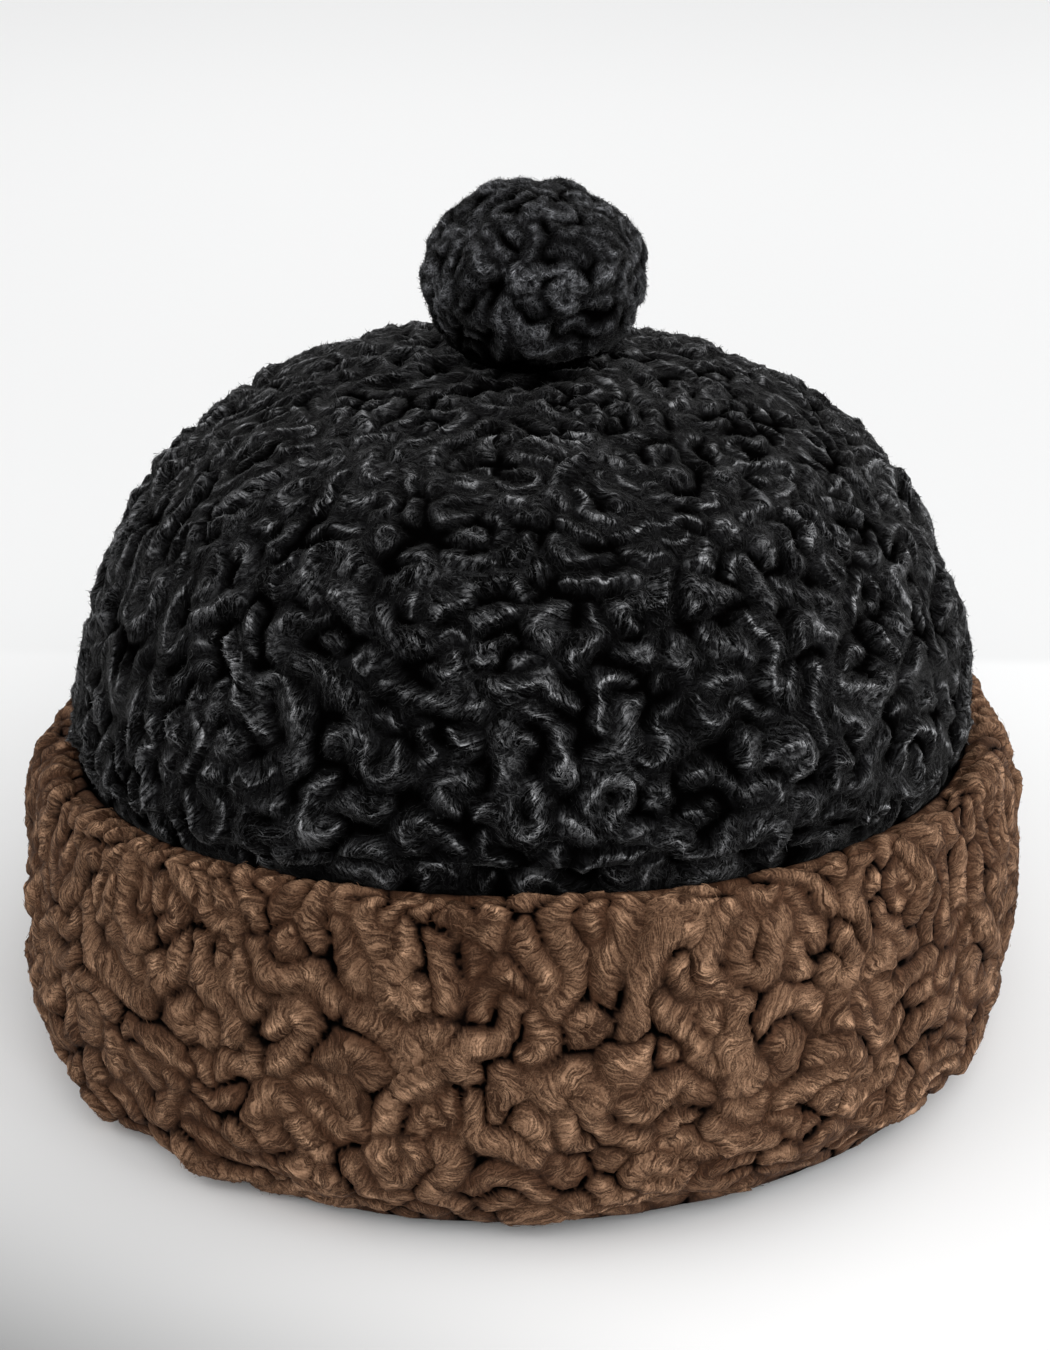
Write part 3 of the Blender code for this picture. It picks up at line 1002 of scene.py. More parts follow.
@dataclass(frozen=True)
class PeltFinish(WoolFinish):
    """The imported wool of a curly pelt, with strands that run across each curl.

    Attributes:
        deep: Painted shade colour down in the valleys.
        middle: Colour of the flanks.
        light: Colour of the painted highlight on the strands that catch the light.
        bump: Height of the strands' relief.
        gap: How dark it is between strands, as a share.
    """

    deep: Colour = (0.0, 0.0, 0.0)
    middle: Colour = (0.0, 0.0, 0.0)
    light: Colour = (0.0, 0.0, 0.0)
    bump: float = 0.0002
    gap: float = 0.4

    SHEEN_ROUGHNESS = 0.4

    def make(self) -> bpy.types.Material:
        """Builds the material."""
        material, tree, shader = self.start()
        hair, relief = self.wool(tree)
        standing = self.standing(tree)
        # Painted shade: the wool goes to the painted valley shade colour down in the valleys.
        body = tree.mix(standing, (*self.deep, 1), (*self.middle, 1))
        # Painted highlight: the light colour along the crests and on raised wool.
        colour = tree.mix(hair * self.lit(tree) * standing, body, (*self.light, 1))
        colour = tree.shaded(colour, tree.remap(hair, 0.0, 1.0, self.gap, 1.0))
        tree.feed(shader.inputs["Normal"], tree.bump(relief, self.bump))
        shader.inputs["Sheen Roughness"].default_value = self.SHEEN_ROUGHNESS
        self.colour(tree, shader, colour, standing, hair)
        return material


@dataclass(frozen=True)
class StrandFinish(WoolFinish):
    """The finish of the single strands of wool.

    Attributes:
        root: Colour of the darkest strands.
        tip: Colour of the painted highlight on the lightest strands.
        own_share: How far a strand takes the painted highlight by itself and not with its tuft.
    """

    root: Colour = (0.0, 0.0, 0.0)
    tip: Colour = (0.0, 0.0, 0.0)
    own_share: float = 0.35

    # Share of brightness that strands keep deepest in the hollows, as painted shade.
    DEEPEST = 0.08

    def make(self) -> bpy.types.Material:
        """Builds the material."""
        material, tree, shader = self.start()
        hair, _ = self.wool(tree)
        standing = self.standing(tree)
        own = self.reading(tree, "chance") * self.own_share + hair * (1 - self.own_share)
        # Painted highlight: strands take the light tip colour along the crests and on raised wool.
        colour = tree.mix(own * self.lit(tree) * standing, (*self.root, 1), (*self.tip, 1))
        # Painted shade: strands darken down in the hollows.
        colour = tree.shaded(colour, tree.remap(standing, 0.0, 1.0, self.DEEPEST, 1.0))
        self.colour(tree, shader, colour, standing, own)
        return material


@dataclass(frozen=True)
class FleshFinish(Finish):
    """The napped flesh side of the pelt, and other plain matte stuff.

    Attributes:
        dark: Its darker colour.
        light: Its lighter colour.
        nap: Scale of the nap.
    """

    dark: Colour = (0.0, 0.0, 0.0)
    light: Colour = (0.0, 0.0, 0.0)
    nap: float = 900.0

    CLOUD = 38.0
    CLOUD_SHARE = 0.7
    CLOUD_ENDS = (0.3, 0.7)
    CLOUD_DETAIL = 4.0
    NAP_BUMP = (0.15 * MM, 0.6)

    def make(self) -> bpy.types.Material:
        """Builds the material."""
        material, tree, shader = self.start()
        cloud = tree.noise(tree.place(), self.CLOUD, self.CLOUD_DETAIL)
        nap = tree.noise(tree.place(), self.nap)
        share = tree.remap(cloud * self.CLOUD_SHARE + nap * (1 - self.CLOUD_SHARE), *self.CLOUD_ENDS)
        tree.feed(shader.inputs["Base Color"], tree.mix(share, (*self.dark, 1), (*self.light, 1)))
        tree.feed(shader.inputs["Normal"], tree.bump(nap, *self.NAP_BUMP))
        return material


@dataclass(frozen=True)
class StrandTraits:
    """How single strands lie on a pelt.

    Attributes:
        seed: Seed of everything random.
        count: How many strands there are.
        length: Usual length of a strand.
        width: Usual width of a strand.
        lift: How far its middle lies over the pelt.
        tip: How far a loose tip stands off.
        stray: How far a strand turns away from the flow, in radians.
        frizz: How far a strand bends by itself, per metre.
        crimp: Depth of its waves.
        joints: How many points it has along its way.
    """

    seed: int
    count: int
    length: float
    width: float
    lift: float
    tip: float
    stray: float
    frizz: float
    crimp: float = 0.0
    joints: int = 4


class StrandSower:
    """Lays strands over a pelt with Geometry Nodes."""

    SOCKETS = {"NodeSocketFloat": ("Density", "Length", "Width", "Lift", "Tip", "Stray", "Frizz", "Crimp"),
               "NodeSocketInt": ("Joints", "Seed"), "NodeSocketMaterial": ("Material",)}
    OWN, ROLLED, LOOSE, STRAYED, LONG, WIDE, FRIZZED = range(3, 10)
    ROLL = 0.5
    WAVES = Crimp(1.0, 2.6 * MM)
    WAVE_STRETCH = 0.85
    HILL_SHARE = 0.75
    LENGTHS = (0.6, 1.3)
    WIDTHS = (0.6, 1.4)
    LOW_LENGTH = 0.5
    THINNING = (-0.1, 0.5, 1.0, 0.12)

    def __init__(self) -> None:
        """Builds the tree."""
        group = bpy.data.node_groups.new("strands", "GeometryNodeTree")
        group.interface.new_socket("Geometry", in_out="INPUT", socket_type="NodeSocketGeometry")
        for kind, names in self.SOCKETS.items():
            for name in names:
                group.interface.new_socket(name, in_out="INPUT", socket_type=kind)
        group.interface.new_socket("Geometry", in_out="OUTPUT", socket_type="NodeSocketGeometry")
        self.group = group
        self.tree = Tree(group)
        self.given = self.tree.node("NodeGroupInput").outputs
        strands = self.instances(self.points())
        self.tree.node("NodeGroupOutput", inputs={0: self.settle(strands)})

    def number(self, name: str, kind: str = "FLOAT") -> Value:
        """Reads a named attribute, a number unless told otherwise."""
        return self.tree.value("GeometryNodeInputNamedAttribute", {"data_type": kind}, {"Name": name},
                               "Attribute")

    def vector(self, name: str) -> Value:
        """Reads a named attribute that is a vector."""
        return self.number(name, "FLOAT_VECTOR")

    def input(self, name: str) -> Value:
        """Gives one of the tree's inputs."""
        return Value(self.tree, self.given[name])

    def nearest(self, value: Value, kind: str = "FLOAT") -> Value:
        """Reads a value at the nearest point of the pelt."""
        return self.tree.value("GeometryNodeSampleNearestSurface", {"data_type": kind},
                               {"Mesh": self.input("Geometry"), "Value": value}, "Value")

    def scaled(self, vector: Value, scale: Value) -> Value:
        """Scales a vector."""
        return self.tree.value("ShaderNodeVectorMath", {"operation": "SCALE"}, {0: vector, "Scale": scale})

    def chance(self, low: float, high: float, salt: int) -> Value:
        """Gives a random number for each element."""
        return self.tree.value("FunctionNodeRandomValue", {"data_type": "FLOAT"},
                               {"Min": low, "Max": high, "Seed": self.input("Seed") + salt}, "Value")

    def store(self, geometry: Any, name: str, value: Any, kind: str = "FLOAT") -> Value:
        """Stores a named attribute on points."""
        return self.tree.value("GeometryNodeStoreNamedAttribute", {"data_type": kind, "domain": "POINT"},
                               {"Geometry": geometry, "Name": name, "Value": value})

    def points(self) -> tuple[Value, Value]:
        """Scatters the strands' middles.

        Returns:
            The points and the pelt's direction at them.
        """
        share = self.number("fur") * (self.number("rise") * self.HILL_SHARE + (1 - self.HILL_SHARE))
        node = self.tree.node("GeometryNodeDistributePointsOnFaces", {"distribute_method": "RANDOM"},
                              {"Mesh": self.input("Geometry"), "Density": self.input("Density") * share,
                               "Seed": self.input("Seed")})
        points = Value(self.tree, node.outputs["Points"])
        points = self.store(points, "chance", self.chance(0.0, 1.0, self.OWN))
        points = self.store(points, "roll", self.chance(-self.ROLL, self.ROLL, self.ROLLED))
        points = self.store(points, "looseness", self.chance(0.0, 1.0, self.LOOSE) ** 3)
        frizz = self.chance(-1.0, 1.0, self.FRIZZED) * self.input("Frizz")
        points = self.store(points, "arc", self.number("arc") + frizz)
        raised = self.number("rise") * (1 - self.LOW_LENGTH) + self.LOW_LENGTH
        length = self.input("Length") * self.chance(*self.LENGTHS, self.LONG) * raised
        points = self.store(points, "length", length)
        facing = self.tree.value("ShaderNodeVectorMath", {"operation": "CROSS_PRODUCT"},
                                 {0: Value(self.tree, node.outputs["Normal"]), 1: self.vector("flow")})
        points = self.store(points, "aside", facing, "FLOAT_VECTOR")
        return points, Value(self.tree, node.outputs["Normal"])

    def blade(self) -> Value:
        """Makes one strand: a narrow strip along X that thins to its tip."""
        tree = self.tree
        grid = tree.value("GeometryNodeMeshGrid", {}, {"Size X": 1.0, "Size Y": 1.0,
                                                       "Vertices X": self.input("Joints"), "Vertices Y": 2})
        place = tree.value("GeometryNodeInputPosition")
        grid = self.store(grid, "strip", place, "FLOAT_VECTOR")
        x, y, _ = tree.parts(place)
        thin = tree.remap(x, *self.THINNING)
        shaped = tree.value("ShaderNodeCombineXYZ", {}, {"X": x, "Y": y * thin})
        return tree.value("GeometryNodeSetPosition", {}, {"Geometry": grid, "Position": shaped})

    def instances(self, scattered: tuple[Value, Value]) -> Value:
        """Puts a strand on each point, along the flow.

        Args:
            scattered: The points and the pelt's direction at them.

        Returns:
            The strands as one mesh.
        """
        points, normal = scattered
        tree = self.tree
        turn = tree.value("FunctionNodeAxesToRotation", {"primary_axis": "Z", "secondary_axis": "X"},
                          {"Primary Axis": normal, "Secondary Axis": self.vector("flow")})
        stray = tree.value("FunctionNodeAxisAngleToRotation", {},
                           {"Axis": (0.0, 0.0, 1.0),
                            "Angle": self.chance(-1.0, 1.0, self.STRAYED) * self.input("Stray")})
        turn = tree.value("FunctionNodeRotateRotation", {"rotation_space": "LOCAL"},
                          {"Rotation": turn, "Rotate By": stray})
        scale = tree.value("ShaderNodeCombineXYZ", {},
                           {"X": self.number("length"),
                            "Y": self.input("Width") * self.chance(*self.WIDTHS, self.WIDE), "Z": 1.0})
        placed = tree.value("GeometryNodeInstanceOnPoints", {},
                            {"Points": points, "Instance": self.blade(), "Rotation": turn, "Scale": scale})
        return tree.value("GeometryNodeRealizeInstances", {}, {"Geometry": placed})

    def bend(self, strands: Value) -> Value:
        """Bends each strand sideways into the arc of its curl, and crimps it.

        Args:
            strands: The straight strands as one mesh.

        Returns:
            The bent strands.
        """
        tree = self.tree
        way = tree.parts(self.vector("strip"))[0] * self.number("length")
        shift = way * way * self.number("arc") * -1.0
        strand, across, mark = tree.parts(self.vector("strand_space"))
        here = self.WAVES.turn(strand, across + way * (self.WAVE_STRETCH / MM), mark)
        shift = shift - (here - self.WAVES.turn(strand, across, mark)) * self.input("Crimp")
        aside = self.scaled(self.vector("aside"), shift)
        return tree.value("GeometryNodeSetPosition", {}, {"Geometry": strands, "Offset": aside})

    def settle(self, strands: Value) -> Value:
        """Lays each strand's points down on the pelt, tilts it and lifts its loose tip.

        Args:
            strands: The strands as one mesh.

        Returns:
            The finished geometry.
        """
        tree = self.tree
        strands = self.bend(strands)
        foot = tree.value("GeometryNodeProximity", {"target_element": "FACES"}, {0: self.input("Geometry")},
                          "Position")
        normal = self.nearest(tree.value("GeometryNodeInputNormal"), "FLOAT_VECTOR")
        x, y, _ = tree.parts(self.vector("strip"))
        belly = 1.0 - (x * 2.0) ** 2
        loose = tree.remap(x, 0.0, 0.5) * self.number("looseness") * self.input("Tip")
        tilt = y * self.input("Width") * self.number("roll")
        height = belly * self.input("Lift") + loose + tilt
        place = tree.value("ShaderNodeVectorMath", {"operation": "ADD"},
                           {0: foot, 1: self.scaled(normal, height)})
        for name in ("rise", "painted_gloss", "crack", "edge", "outward"):
            strands = self.store(strands, name, self.nearest(self.number(name)))
        laid = tree.value("GeometryNodeSetPosition", {}, {"Geometry": strands, "Position": place})
        smooth = tree.value("GeometryNodeSetShadeSmooth", {}, {"Geometry": laid})
        return tree.value("GeometryNodeSetMaterial", {},
                          {"Geometry": smooth, "Material": self.input("Material")})

    def sow(self, name: str, pelt: bpy.types.Object, traits: StrandTraits,
            material: bpy.types.Material) -> bpy.types.Object:
        """Makes the strands of a pelt.

        Args:
            name: Name of the new piece.
            pelt: The pelt that they lie on.
            traits: How they lie.
            material: Their finish.

        Returns:
            The strands as one plain mesh.
        """
        carrier = add_object(name + "_carrier", pelt.data)
        modifier = carrier.modifiers.new("strands", "NODES")
        modifier.node_group = self.group
        values = {key.title(): value for key, value in asdict(traits).items()}
        values |= {"Density": traits.count / self.weighted_area(pelt.data), "Material": material}
        for item in self.group.interface.items_tree:
            if item.in_out == "INPUT" and item.name in values:
                modifier[item.identifier] = values[item.name]
        graph = bpy.context.evaluated_depsgraph_get()
        mesh = bpy.data.meshes.new_from_object(carrier.evaluated_get(graph))
        bpy.data.objects.remove(carrier, do_unlink=True)
        mesh.name = name
        return add_object(name, mesh)

    def weighted_area(self, mesh: bpy.types.Mesh) -> float:
        """Measures a pelt's area, weighted by how many strands it bears."""
        areas = np.empty(len(mesh.polygons))
        mesh.polygons.foreach_get("area", areas)
        corners = np.empty(len(mesh.loops), dtype=np.int32)
        mesh.loops.foreach_get("vertex_index", corners)
        share, rise = np.empty((2, len(mesh.vertices)))
        mesh.attributes["fur"].data.foreach_get("value", share)
        mesh.attributes["rise"].data.foreach_get("value", rise)
        bearing = share * (self.HILL_SHARE * rise + (1 - self.HILL_SHARE))
        weight = bearing[corners.reshape(-1, 3)].mean(axis=1)
        return float((areas * weight).sum())


class RingMesh:
    """Rings of points round Z, stitched into triangles."""

    FEWEST = 8

    def __init__(self) -> None:
        """Starts an empty mesh."""
        self.parts: list[np.ndarray] = []
        self.rings: list[tuple[int, int, float]] = []
        self.faces: list[tuple[int, int, int]] = []
        self.sides: list[int] = []
        self.total = 0

    def add_ring(self, radius: float, spacing: float) -> np.ndarray:
        """Adds a ring's angles.

        Args:
            radius: The ring's radius.
            spacing: The wanted distance between its points.

        Returns:
            The angles of its points.
        """
        count = 1 if radius < 1e-6 else max(self.FEWEST, round(math.tau * radius / spacing))
        shift = 0.5 * (len(self.rings) % 2)
        self.rings.append((self.total, count, shift))
        self.total += count
        return (np.arange(count) + shift) * math.tau / count

    def stitch(self, upper: int, lower: int, side: Face) -> None:
        """Fills the band between two rings.

        Args:
            upper: Number of the ring that comes first in the section.
            lower: Number of the next ring.
            side: The side of the pelt that the band shows.
        """
        start_a, count_a, shift_a = self.rings[upper]
        start_b, count_b, shift_b = self.rings[lower]
        i = j = 0
        while i < count_a or j < count_b:
            next_a = (i + 1 + shift_a) / count_a
            next_b = (j + 1 + shift_b) / count_b
            a, b = start_a + i % count_a, start_b + j % count_b
            if j >= count_b or (i < count_a and next_a <= next_b):
                i += 1
                if count_a > 1:
                    self.faces.append((a, b, start_a + i % count_a))
                    self.sides.append(side.value)
            else:
                j += 1
                if count_b > 1:
                    self.faces.append((a, b, start_b + j % count_b))
                    self.sides.append(side.value)


@dataclass(frozen=True)
class Slump:
    """How the cap has settled round the cuff's rim: a little up in front and down at its sides.

    Attributes:
        front_rise: How far the rim is up at its foremost point.
        side_drop: How far it is down from the middle backwards.
        left_drop: How far it is further down at its left.
        reach: Distance from the middle to the foremost point.
        foot_rise: How far the foot is up at its highest point.
        foot_angle: Direction of that point, from +X.
        foot_ends: Heights between which the foot's rise fades out.
        starts: Heights between which it fades in.
        ends: Heights between which it fades out.
    """

    front_rise: float = 2.4 * MM
    side_drop: float = 6.6 * MM
    left_drop: float = 7.2 * MM
    reach: float = 105.0 * MM
    foot_rise: float = 2.5 * MM
    foot_angle: float = -1.2
    foot_ends: tuple[float, float] = (4.0 * MM, 40.0 * MM)
    starts: tuple[float, float] = (12.0 * MM, 62.0 * MM)
    ends: tuple[float, float] = (84.0 * MM, 135.0 * MM)

    def lower(self, points: np.ndarray) -> np.ndarray:
        """Gives how far up each point goes."""
        ahead = np.clip(-points[:, 1] / self.reach, 0, 1)
        left = np.clip(-points[:, 0] / self.reach, 0, 1) ** 2
        by_place = -self.side_drop + (self.side_drop + self.front_rise) * ahead - self.left_drop * left
        hold = [ramp(z, *self.starts) * (1 - ramp(z, *self.ends)) for z in points[:, 2]]
        facing = np.cos(np.arctan2(points[:, 1], points[:, 0]) - self.foot_angle)
        foot = [1 - ramp(z, *self.foot_ends) for z in points[:, 2]]
        return by_place * np.array(hold) + self.foot_rise * np.clip(facing, 0, 1) ** 4 * np.array(foot)


@dataclass(frozen=True)
class Swell:
    """A place where a pelt bulges, or sinks with a rise below 0.

    Attributes:
        place: Its middle.
        reach: How far it reaches.
        rise: How far it stands out in its middle.
    """

    place: tuple[float, float, float]
    reach: float
    rise: float

    def push(self, points: np.ndarray) -> np.ndarray:
        """Gives how far each point goes outwards."""
        away = np.linalg.norm(points - np.array(self.place), axis=1) / self.reach
        return self.rise * np.clip(1 - away**2, 0, 1) ** 2


@dataclass
class Pelt:
    """A turned pelt with curls on its outer side. Its kinds give the section and the sizes."""

    name: str
    node: str
    slot: str
    ring: float
    curls: CurlTraits
    strands: StrandTraits
    fur: PeltFinish
    hair: StrandFinish
    flesh: FleshFinish
    grain: GrainMap = field(default_factory=GrainMap)
    floor_z: float = -1.0
    lean: float = 0.0
    lean_span: tuple[float, float] = (0.0, 1.0)
    slump: Optional[Slump] = None
    swells: tuple[Swell, ...] = ()
    fuzz: Optional[StrandTraits] = None
    # Heights between which the painted shade on the piece's underside fades out.
    dim_span: tuple[float, float] = (-1.0, -0.5)

    PLAIN = 6.0 * MM
    WAVE_SIZE = 2.4
    BARE_RISE = 0.05

    def plain(self, *lines: Sequence[Point]) -> list[Stretch]:
        """Makes plain stretches of the pelt's inner side."""
        return [Stretch(line, Face.FLESH, self.PLAIN) for line in lines]

    def section(self) -> list[Stretch]:
        """Gives the pelt's closed section, down its outer side and back up its inner one."""
        raise NotImplementedError

    def share(self, radius: float, height: float) -> float:
        """Gives how far the fur stands at a place on the outer side, from 0 to 1."""
        raise NotImplementedError

    def build(self) -> bpy.types.Object:
        """Makes the pelt's mesh.

        Returns:
            The pelt, with its attributes and both finishes.
        """
        stretches = self.section()
        furry = next(stretch for stretch in stretches if stretch.face is Face.FUR)
        self.coat = CurlCoat(TurnedSide(furry.points), self.curls, self.grain)
        shell = RingMesh()
        points, normals, shares = [], [], []
        for stretch in stretches:
            line = np.array(evenly(stretch.points, stretch.spacing))
            if stretch is not stretches[0]:
                line = line[1:]
            run = np.gradient(line, axis=0) if len(line) > 1 else np.array([[0.0, -1.0]])
            outward = np.stack([-run[:, 1], run[:, 0]], axis=1)
            outward /= np.maximum(np.linalg.norm(outward, axis=1, keepdims=True), 1e-9)
            for (radius, height), (out, up) in zip(line, outward):
                angles = shell.add_ring(radius, stretch.spacing)
                points.append(turned(radius, height, angles))
                normals.append(turned(out, up, angles))
                fur = self.share(radius, height) if stretch.face is Face.FUR else 0.0
                shares.append(np.full(len(angles), fur))
                if len(shell.rings) > 1:
                    shell.stitch(len(shell.rings) - 2, len(shell.rings) - 1, stretch.face)
        if shell.rings[0][1] > 1:
            shell.stitch(len(shell.rings) - 1, 0, stretches[-1].face)
        return self.raise_curls(shell, *(np.concatenate(rings) for rings in (points, normals, shares)))

    def raise_curls(self, shell: RingMesh, base: np.ndarray, normals: np.ndarray,
                    shares: np.ndarray) -> bpy.types.Object:
        """Raises the curls on the smooth shell.

        Args:
            shell: The rings and their faces.
            base: The smooth shell's points.
            normals: Its outward directions.
            shares: How furry it is at each point.

        Returns:
            The finished pelt.
        """
        traits = self.curls
        furry = np.flatnonzero(shares > 0)
        reading = self.coat.read(base[furry])
        share = shares[furry]
        waves = wander(base[furry], self.WAVE_SIZE * traits.spacing)
        height = traits.depth * share * (reading.rise - 1) + traits.undulation * waves * share
        for swell in self.swells:
            height += swell.push(base[furry]) * share
        points = base.copy()
        points[furry] += normals[furry] * height[:, None] + reading.lean * share[:, None]
        points[:, 2] = np.maximum(points[:, 2], self.floor_z)
        points[furry, 0] += self.lean * np.array([ramp(z, *self.lean_span) for z in base[furry, 2]])
        if self.slump:
            points[:, 2] += self.slump.lower(points)
        mesh = bpy.data.meshes.new(self.name)
        mesh.from_pydata(points.tolist(), [], shell.faces)
        mesh.polygons.foreach_set("material_index", shell.sides)
        mesh.shade_smooth()
        # Painted shade: below the painted underside span the fur's rise, and so its colour, goes dark.
        out_of_painted_shade = np.array([ramp(z, *self.dim_span) for z in base[furry, 2]])
        space = np.stack([reading.strand / MM, reading.across / MM, reading.mark], axis=1)
        told = {"rise": (self.BARE_RISE, reading.rise * np.sqrt(share) * out_of_painted_shade),
                "painted_gloss": (0.0, reading.painted_gloss * share), "crack": (0.0, reading.crack), "arc": (0.0, reading.arc),
                "edge": (1.0, reading.edge), "outward": (1.0, reading.outward), "fur": (0.0, share),
                "flow": (np.cross(normals, (0.0, 0.0, 1.0)), reading.flow),
                "strand_space": (np.zeros((len(base), 3)), space)}
        for name, (elsewhere, values) in told.items():
            numbers = np.full(len(base), elsewhere) if np.isscalar(elsewhere) else elsewhere
            numbers[furry] = values
            vector = numbers.ndim == 2
            layer = mesh.attributes.new(name, "FLOAT_VECTOR" if vector else "FLOAT", "POINT")
            layer.data.foreach_set("vector" if vector else "value", numbers.astype(np.float32).ravel())
        return add_object(self.name, mesh)

    def make(self, sower: StrandSower) -> Iterator[bpy.types.Object]:
        """Builds and dresses the pelt and its strands.

        Args:
            sower: What lays the strands.

        Returns:
            The pieces, one after the other.
        """
        pelt = self.build()
        pelt.data.materials.append(self.fur.make())
        pelt.data.materials.append(self.flesh.make())
        hair = self.hair.make()
        layers = [sower.sow(self.name + "_strands", pelt, self.strands, hair)]
        if self.fuzz:
            layers.append(sower.sow(self.name + "_fuzz", pelt, self.fuzz, hair))
        for piece in (pelt, *layers):
            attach(piece, BODY)
            yield piece
        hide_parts(self.node)


@dataclass
class Crown(Pelt):
    """The domed crown: its outline over the curls, its tuck behind the cuff and its hollow."""

    radius: float = 102.2 * MM
    height: float = 151.3 * MM
    widest_z: float = 66.0 * MM
    fullness: float = 2.46
    thickness: float = 7.0 * MM
    head_radius: float = 93.0 * MM
    tuck_top_z: float = 78.5 * MM
    tuck_radius: float = 99.3 * MM
    tuck_bottom_z: float = 71.5 * MM
    tuck_full_z: float = 76.5 * MM
    hidden_radius: float = 95.4 * MM
    edge_z: float = 5.8 * MM
    dimple_radius: float = 13.5 * MM
    dimple_flat: float = 8.0 * MM
    dimple_bare: float = 5.5 * MM
    dimple_furry: float = 10.5 * MM
    dimple_depth: float = 1.8 * MM
    matted_from: float = 0.118
    matted_to: float = 0.149
    matted_share: float = 0.75
    hole_radius: float = 1.9 * MM

    def dimpled(self, points: Sequence[Point]) -> list[Point]:
        """Presses the pompom's dimple into an arch, and leaves out the tie's hole."""
        return [(r, z - self.dimple_depth * (1 - ramp(r, self.dimple_flat, self.dimple_radius)))
                for r, z in points if r > self.hole_radius]

    def section(self) -> list[Stretch]:
        """Gives the crown's section, from the tie's hole down outside and back up the hollow."""
        rise = self.height - self.widest_z
        dome = self.dimpled(arch(self.radius, rise, self.widest_z, self.fullness, math.pi / 2, 0.0))
        dome = [point for point in dome if point[1] > self.tuck_top_z]
        tuck_z = 0.5 * (self.tuck_top_z + self.tuck_bottom_z)
        tuck = smooth_line([dome[-1], (self.tuck_radius, tuck_z), (self.hidden_radius, self.tuck_bottom_z)])
        outside = [(self.hole_radius, dome[0][1]), *dome, *tuck[1:]]
        hollow = self.dimpled(arch(self.head_radius, rise - self.thickness, self.widest_z, self.fullness,
                                   0.0, math.pi / 2))
        inside = [(self.head_radius, self.edge_z), *hollow, (self.hole_radius, hollow[-1][1])]
        edge = [(self.hidden_radius, self.edge_z), (self.head_radius, self.edge_z)]
        return [Stretch(outside, Face.FUR, self.ring), *self.plain([outside[-1], edge[0]], edge, inside)]

    def share(self, radius: float, height: float) -> float:
        """Gives how far the fur stands: not in the dimple, lower at the top, and less behind the cuff."""
        matted = 1 - (1 - self.matted_share) * ramp(height, self.matted_from, self.matted_to)
        return ramp(radius, self.dimple_bare, self.dimple_furry) * matted * \
            ramp(height, self.tuck_bottom_z, self.tuck_full_z)


@dataclass
class Cuff(Pelt):
    """The turned-up cuff: its rolled top edge, its belly, its fold at the foot and its bore."""

    height: float = 76.9 * MM
    foot_radius: float = 96.0 * MM
    low_radius: float = 112.4 * MM
    middle_radius: float = 112.4 * MM
    top_radius: float = 106.9 * MM
    low_z: float = 15.5 * MM
    roll: float = 4.7 * MM
    roll_end: float = 0.12
    belly_rise: float = 4.0 * MM
    bore_radius: float = 96.3 * MM
    lip_radius: float = 92.2 * MM
    ledge_z: float = 5.5 * MM
    foot_inner: float = 93.5 * MM
    foot_cut: float = 0.4 * MM
    bare_z: float = 0.2 * MM
    furry_z: float = 3.0 * MM
    lip_top_z: float = 2.2 * MM
    bore_top_drop: float = 4.0 * MM

    ARC_STEPS = 24
    ROLL_FUR = 0.4
    FINE = 2.0 * MM

    def section(self) -> list[Stretch]:
        """Gives the cuff's section, from its rolled edge down outside, over the foot and up the bore."""
        roll_r, roll_z = self.top_radius - self.roll, self.height - self.roll
        angles = [math.pi + (self.roll_end - math.pi) * k / self.ARC_STEPS for k in range(self.ARC_STEPS + 1)]
        roll = [(roll_r + self.roll * math.cos(a), roll_z + self.roll * math.sin(a)) for a in angles]
        side = smooth_line([roll[-1], (self.middle_radius, 0.5 * self.height + self.belly_rise),
                            (self.low_radius, self.low_z)])
        turn_r = self.low_radius - self.foot_radius
        turn = [(self.foot_radius + turn_r * math.cos(a),
                 -self.foot_cut + (self.low_z + self.foot_cut) * (1 - math.sin(a)))
                for a in (math.pi / 2 * k / self.ARC_STEPS for k in range(1, self.ARC_STEPS + 1))]
        outside = [*roll, *side[1:], *turn]
        foot = (self.foot_inner, -self.foot_cut)
        lip = [foot, (self.lip_radius, self.lip_top_z), (self.lip_radius, self.ledge_z)]
        ledge = [lip[-1], (self.bore_radius, self.ledge_z)]
        bore = [ledge[-1], (self.bore_radius, roll_z - self.bore_top_drop), roll[0]]
        return [Stretch(outside, Face.FUR, self.ring),
                Stretch([outside[-1], foot], Face.FUR, self.FINE),
                Stretch(lip, Face.FLESH, self.FINE), *self.plain(ledge, bore[:-1])]

    def share(self, radius: float, height: float) -> float:
        """Gives how far the fur stands: less and less under the foot and inside the rolled edge."""
        inner = self.top_radius - 2 * self.roll
        return ramp(height, self.bare_z, self.furry_z) * \
            (ramp(radius, inner, inner + self.ROLL_FUR * self.roll) if height > 0.5 * self.height else 1.0)


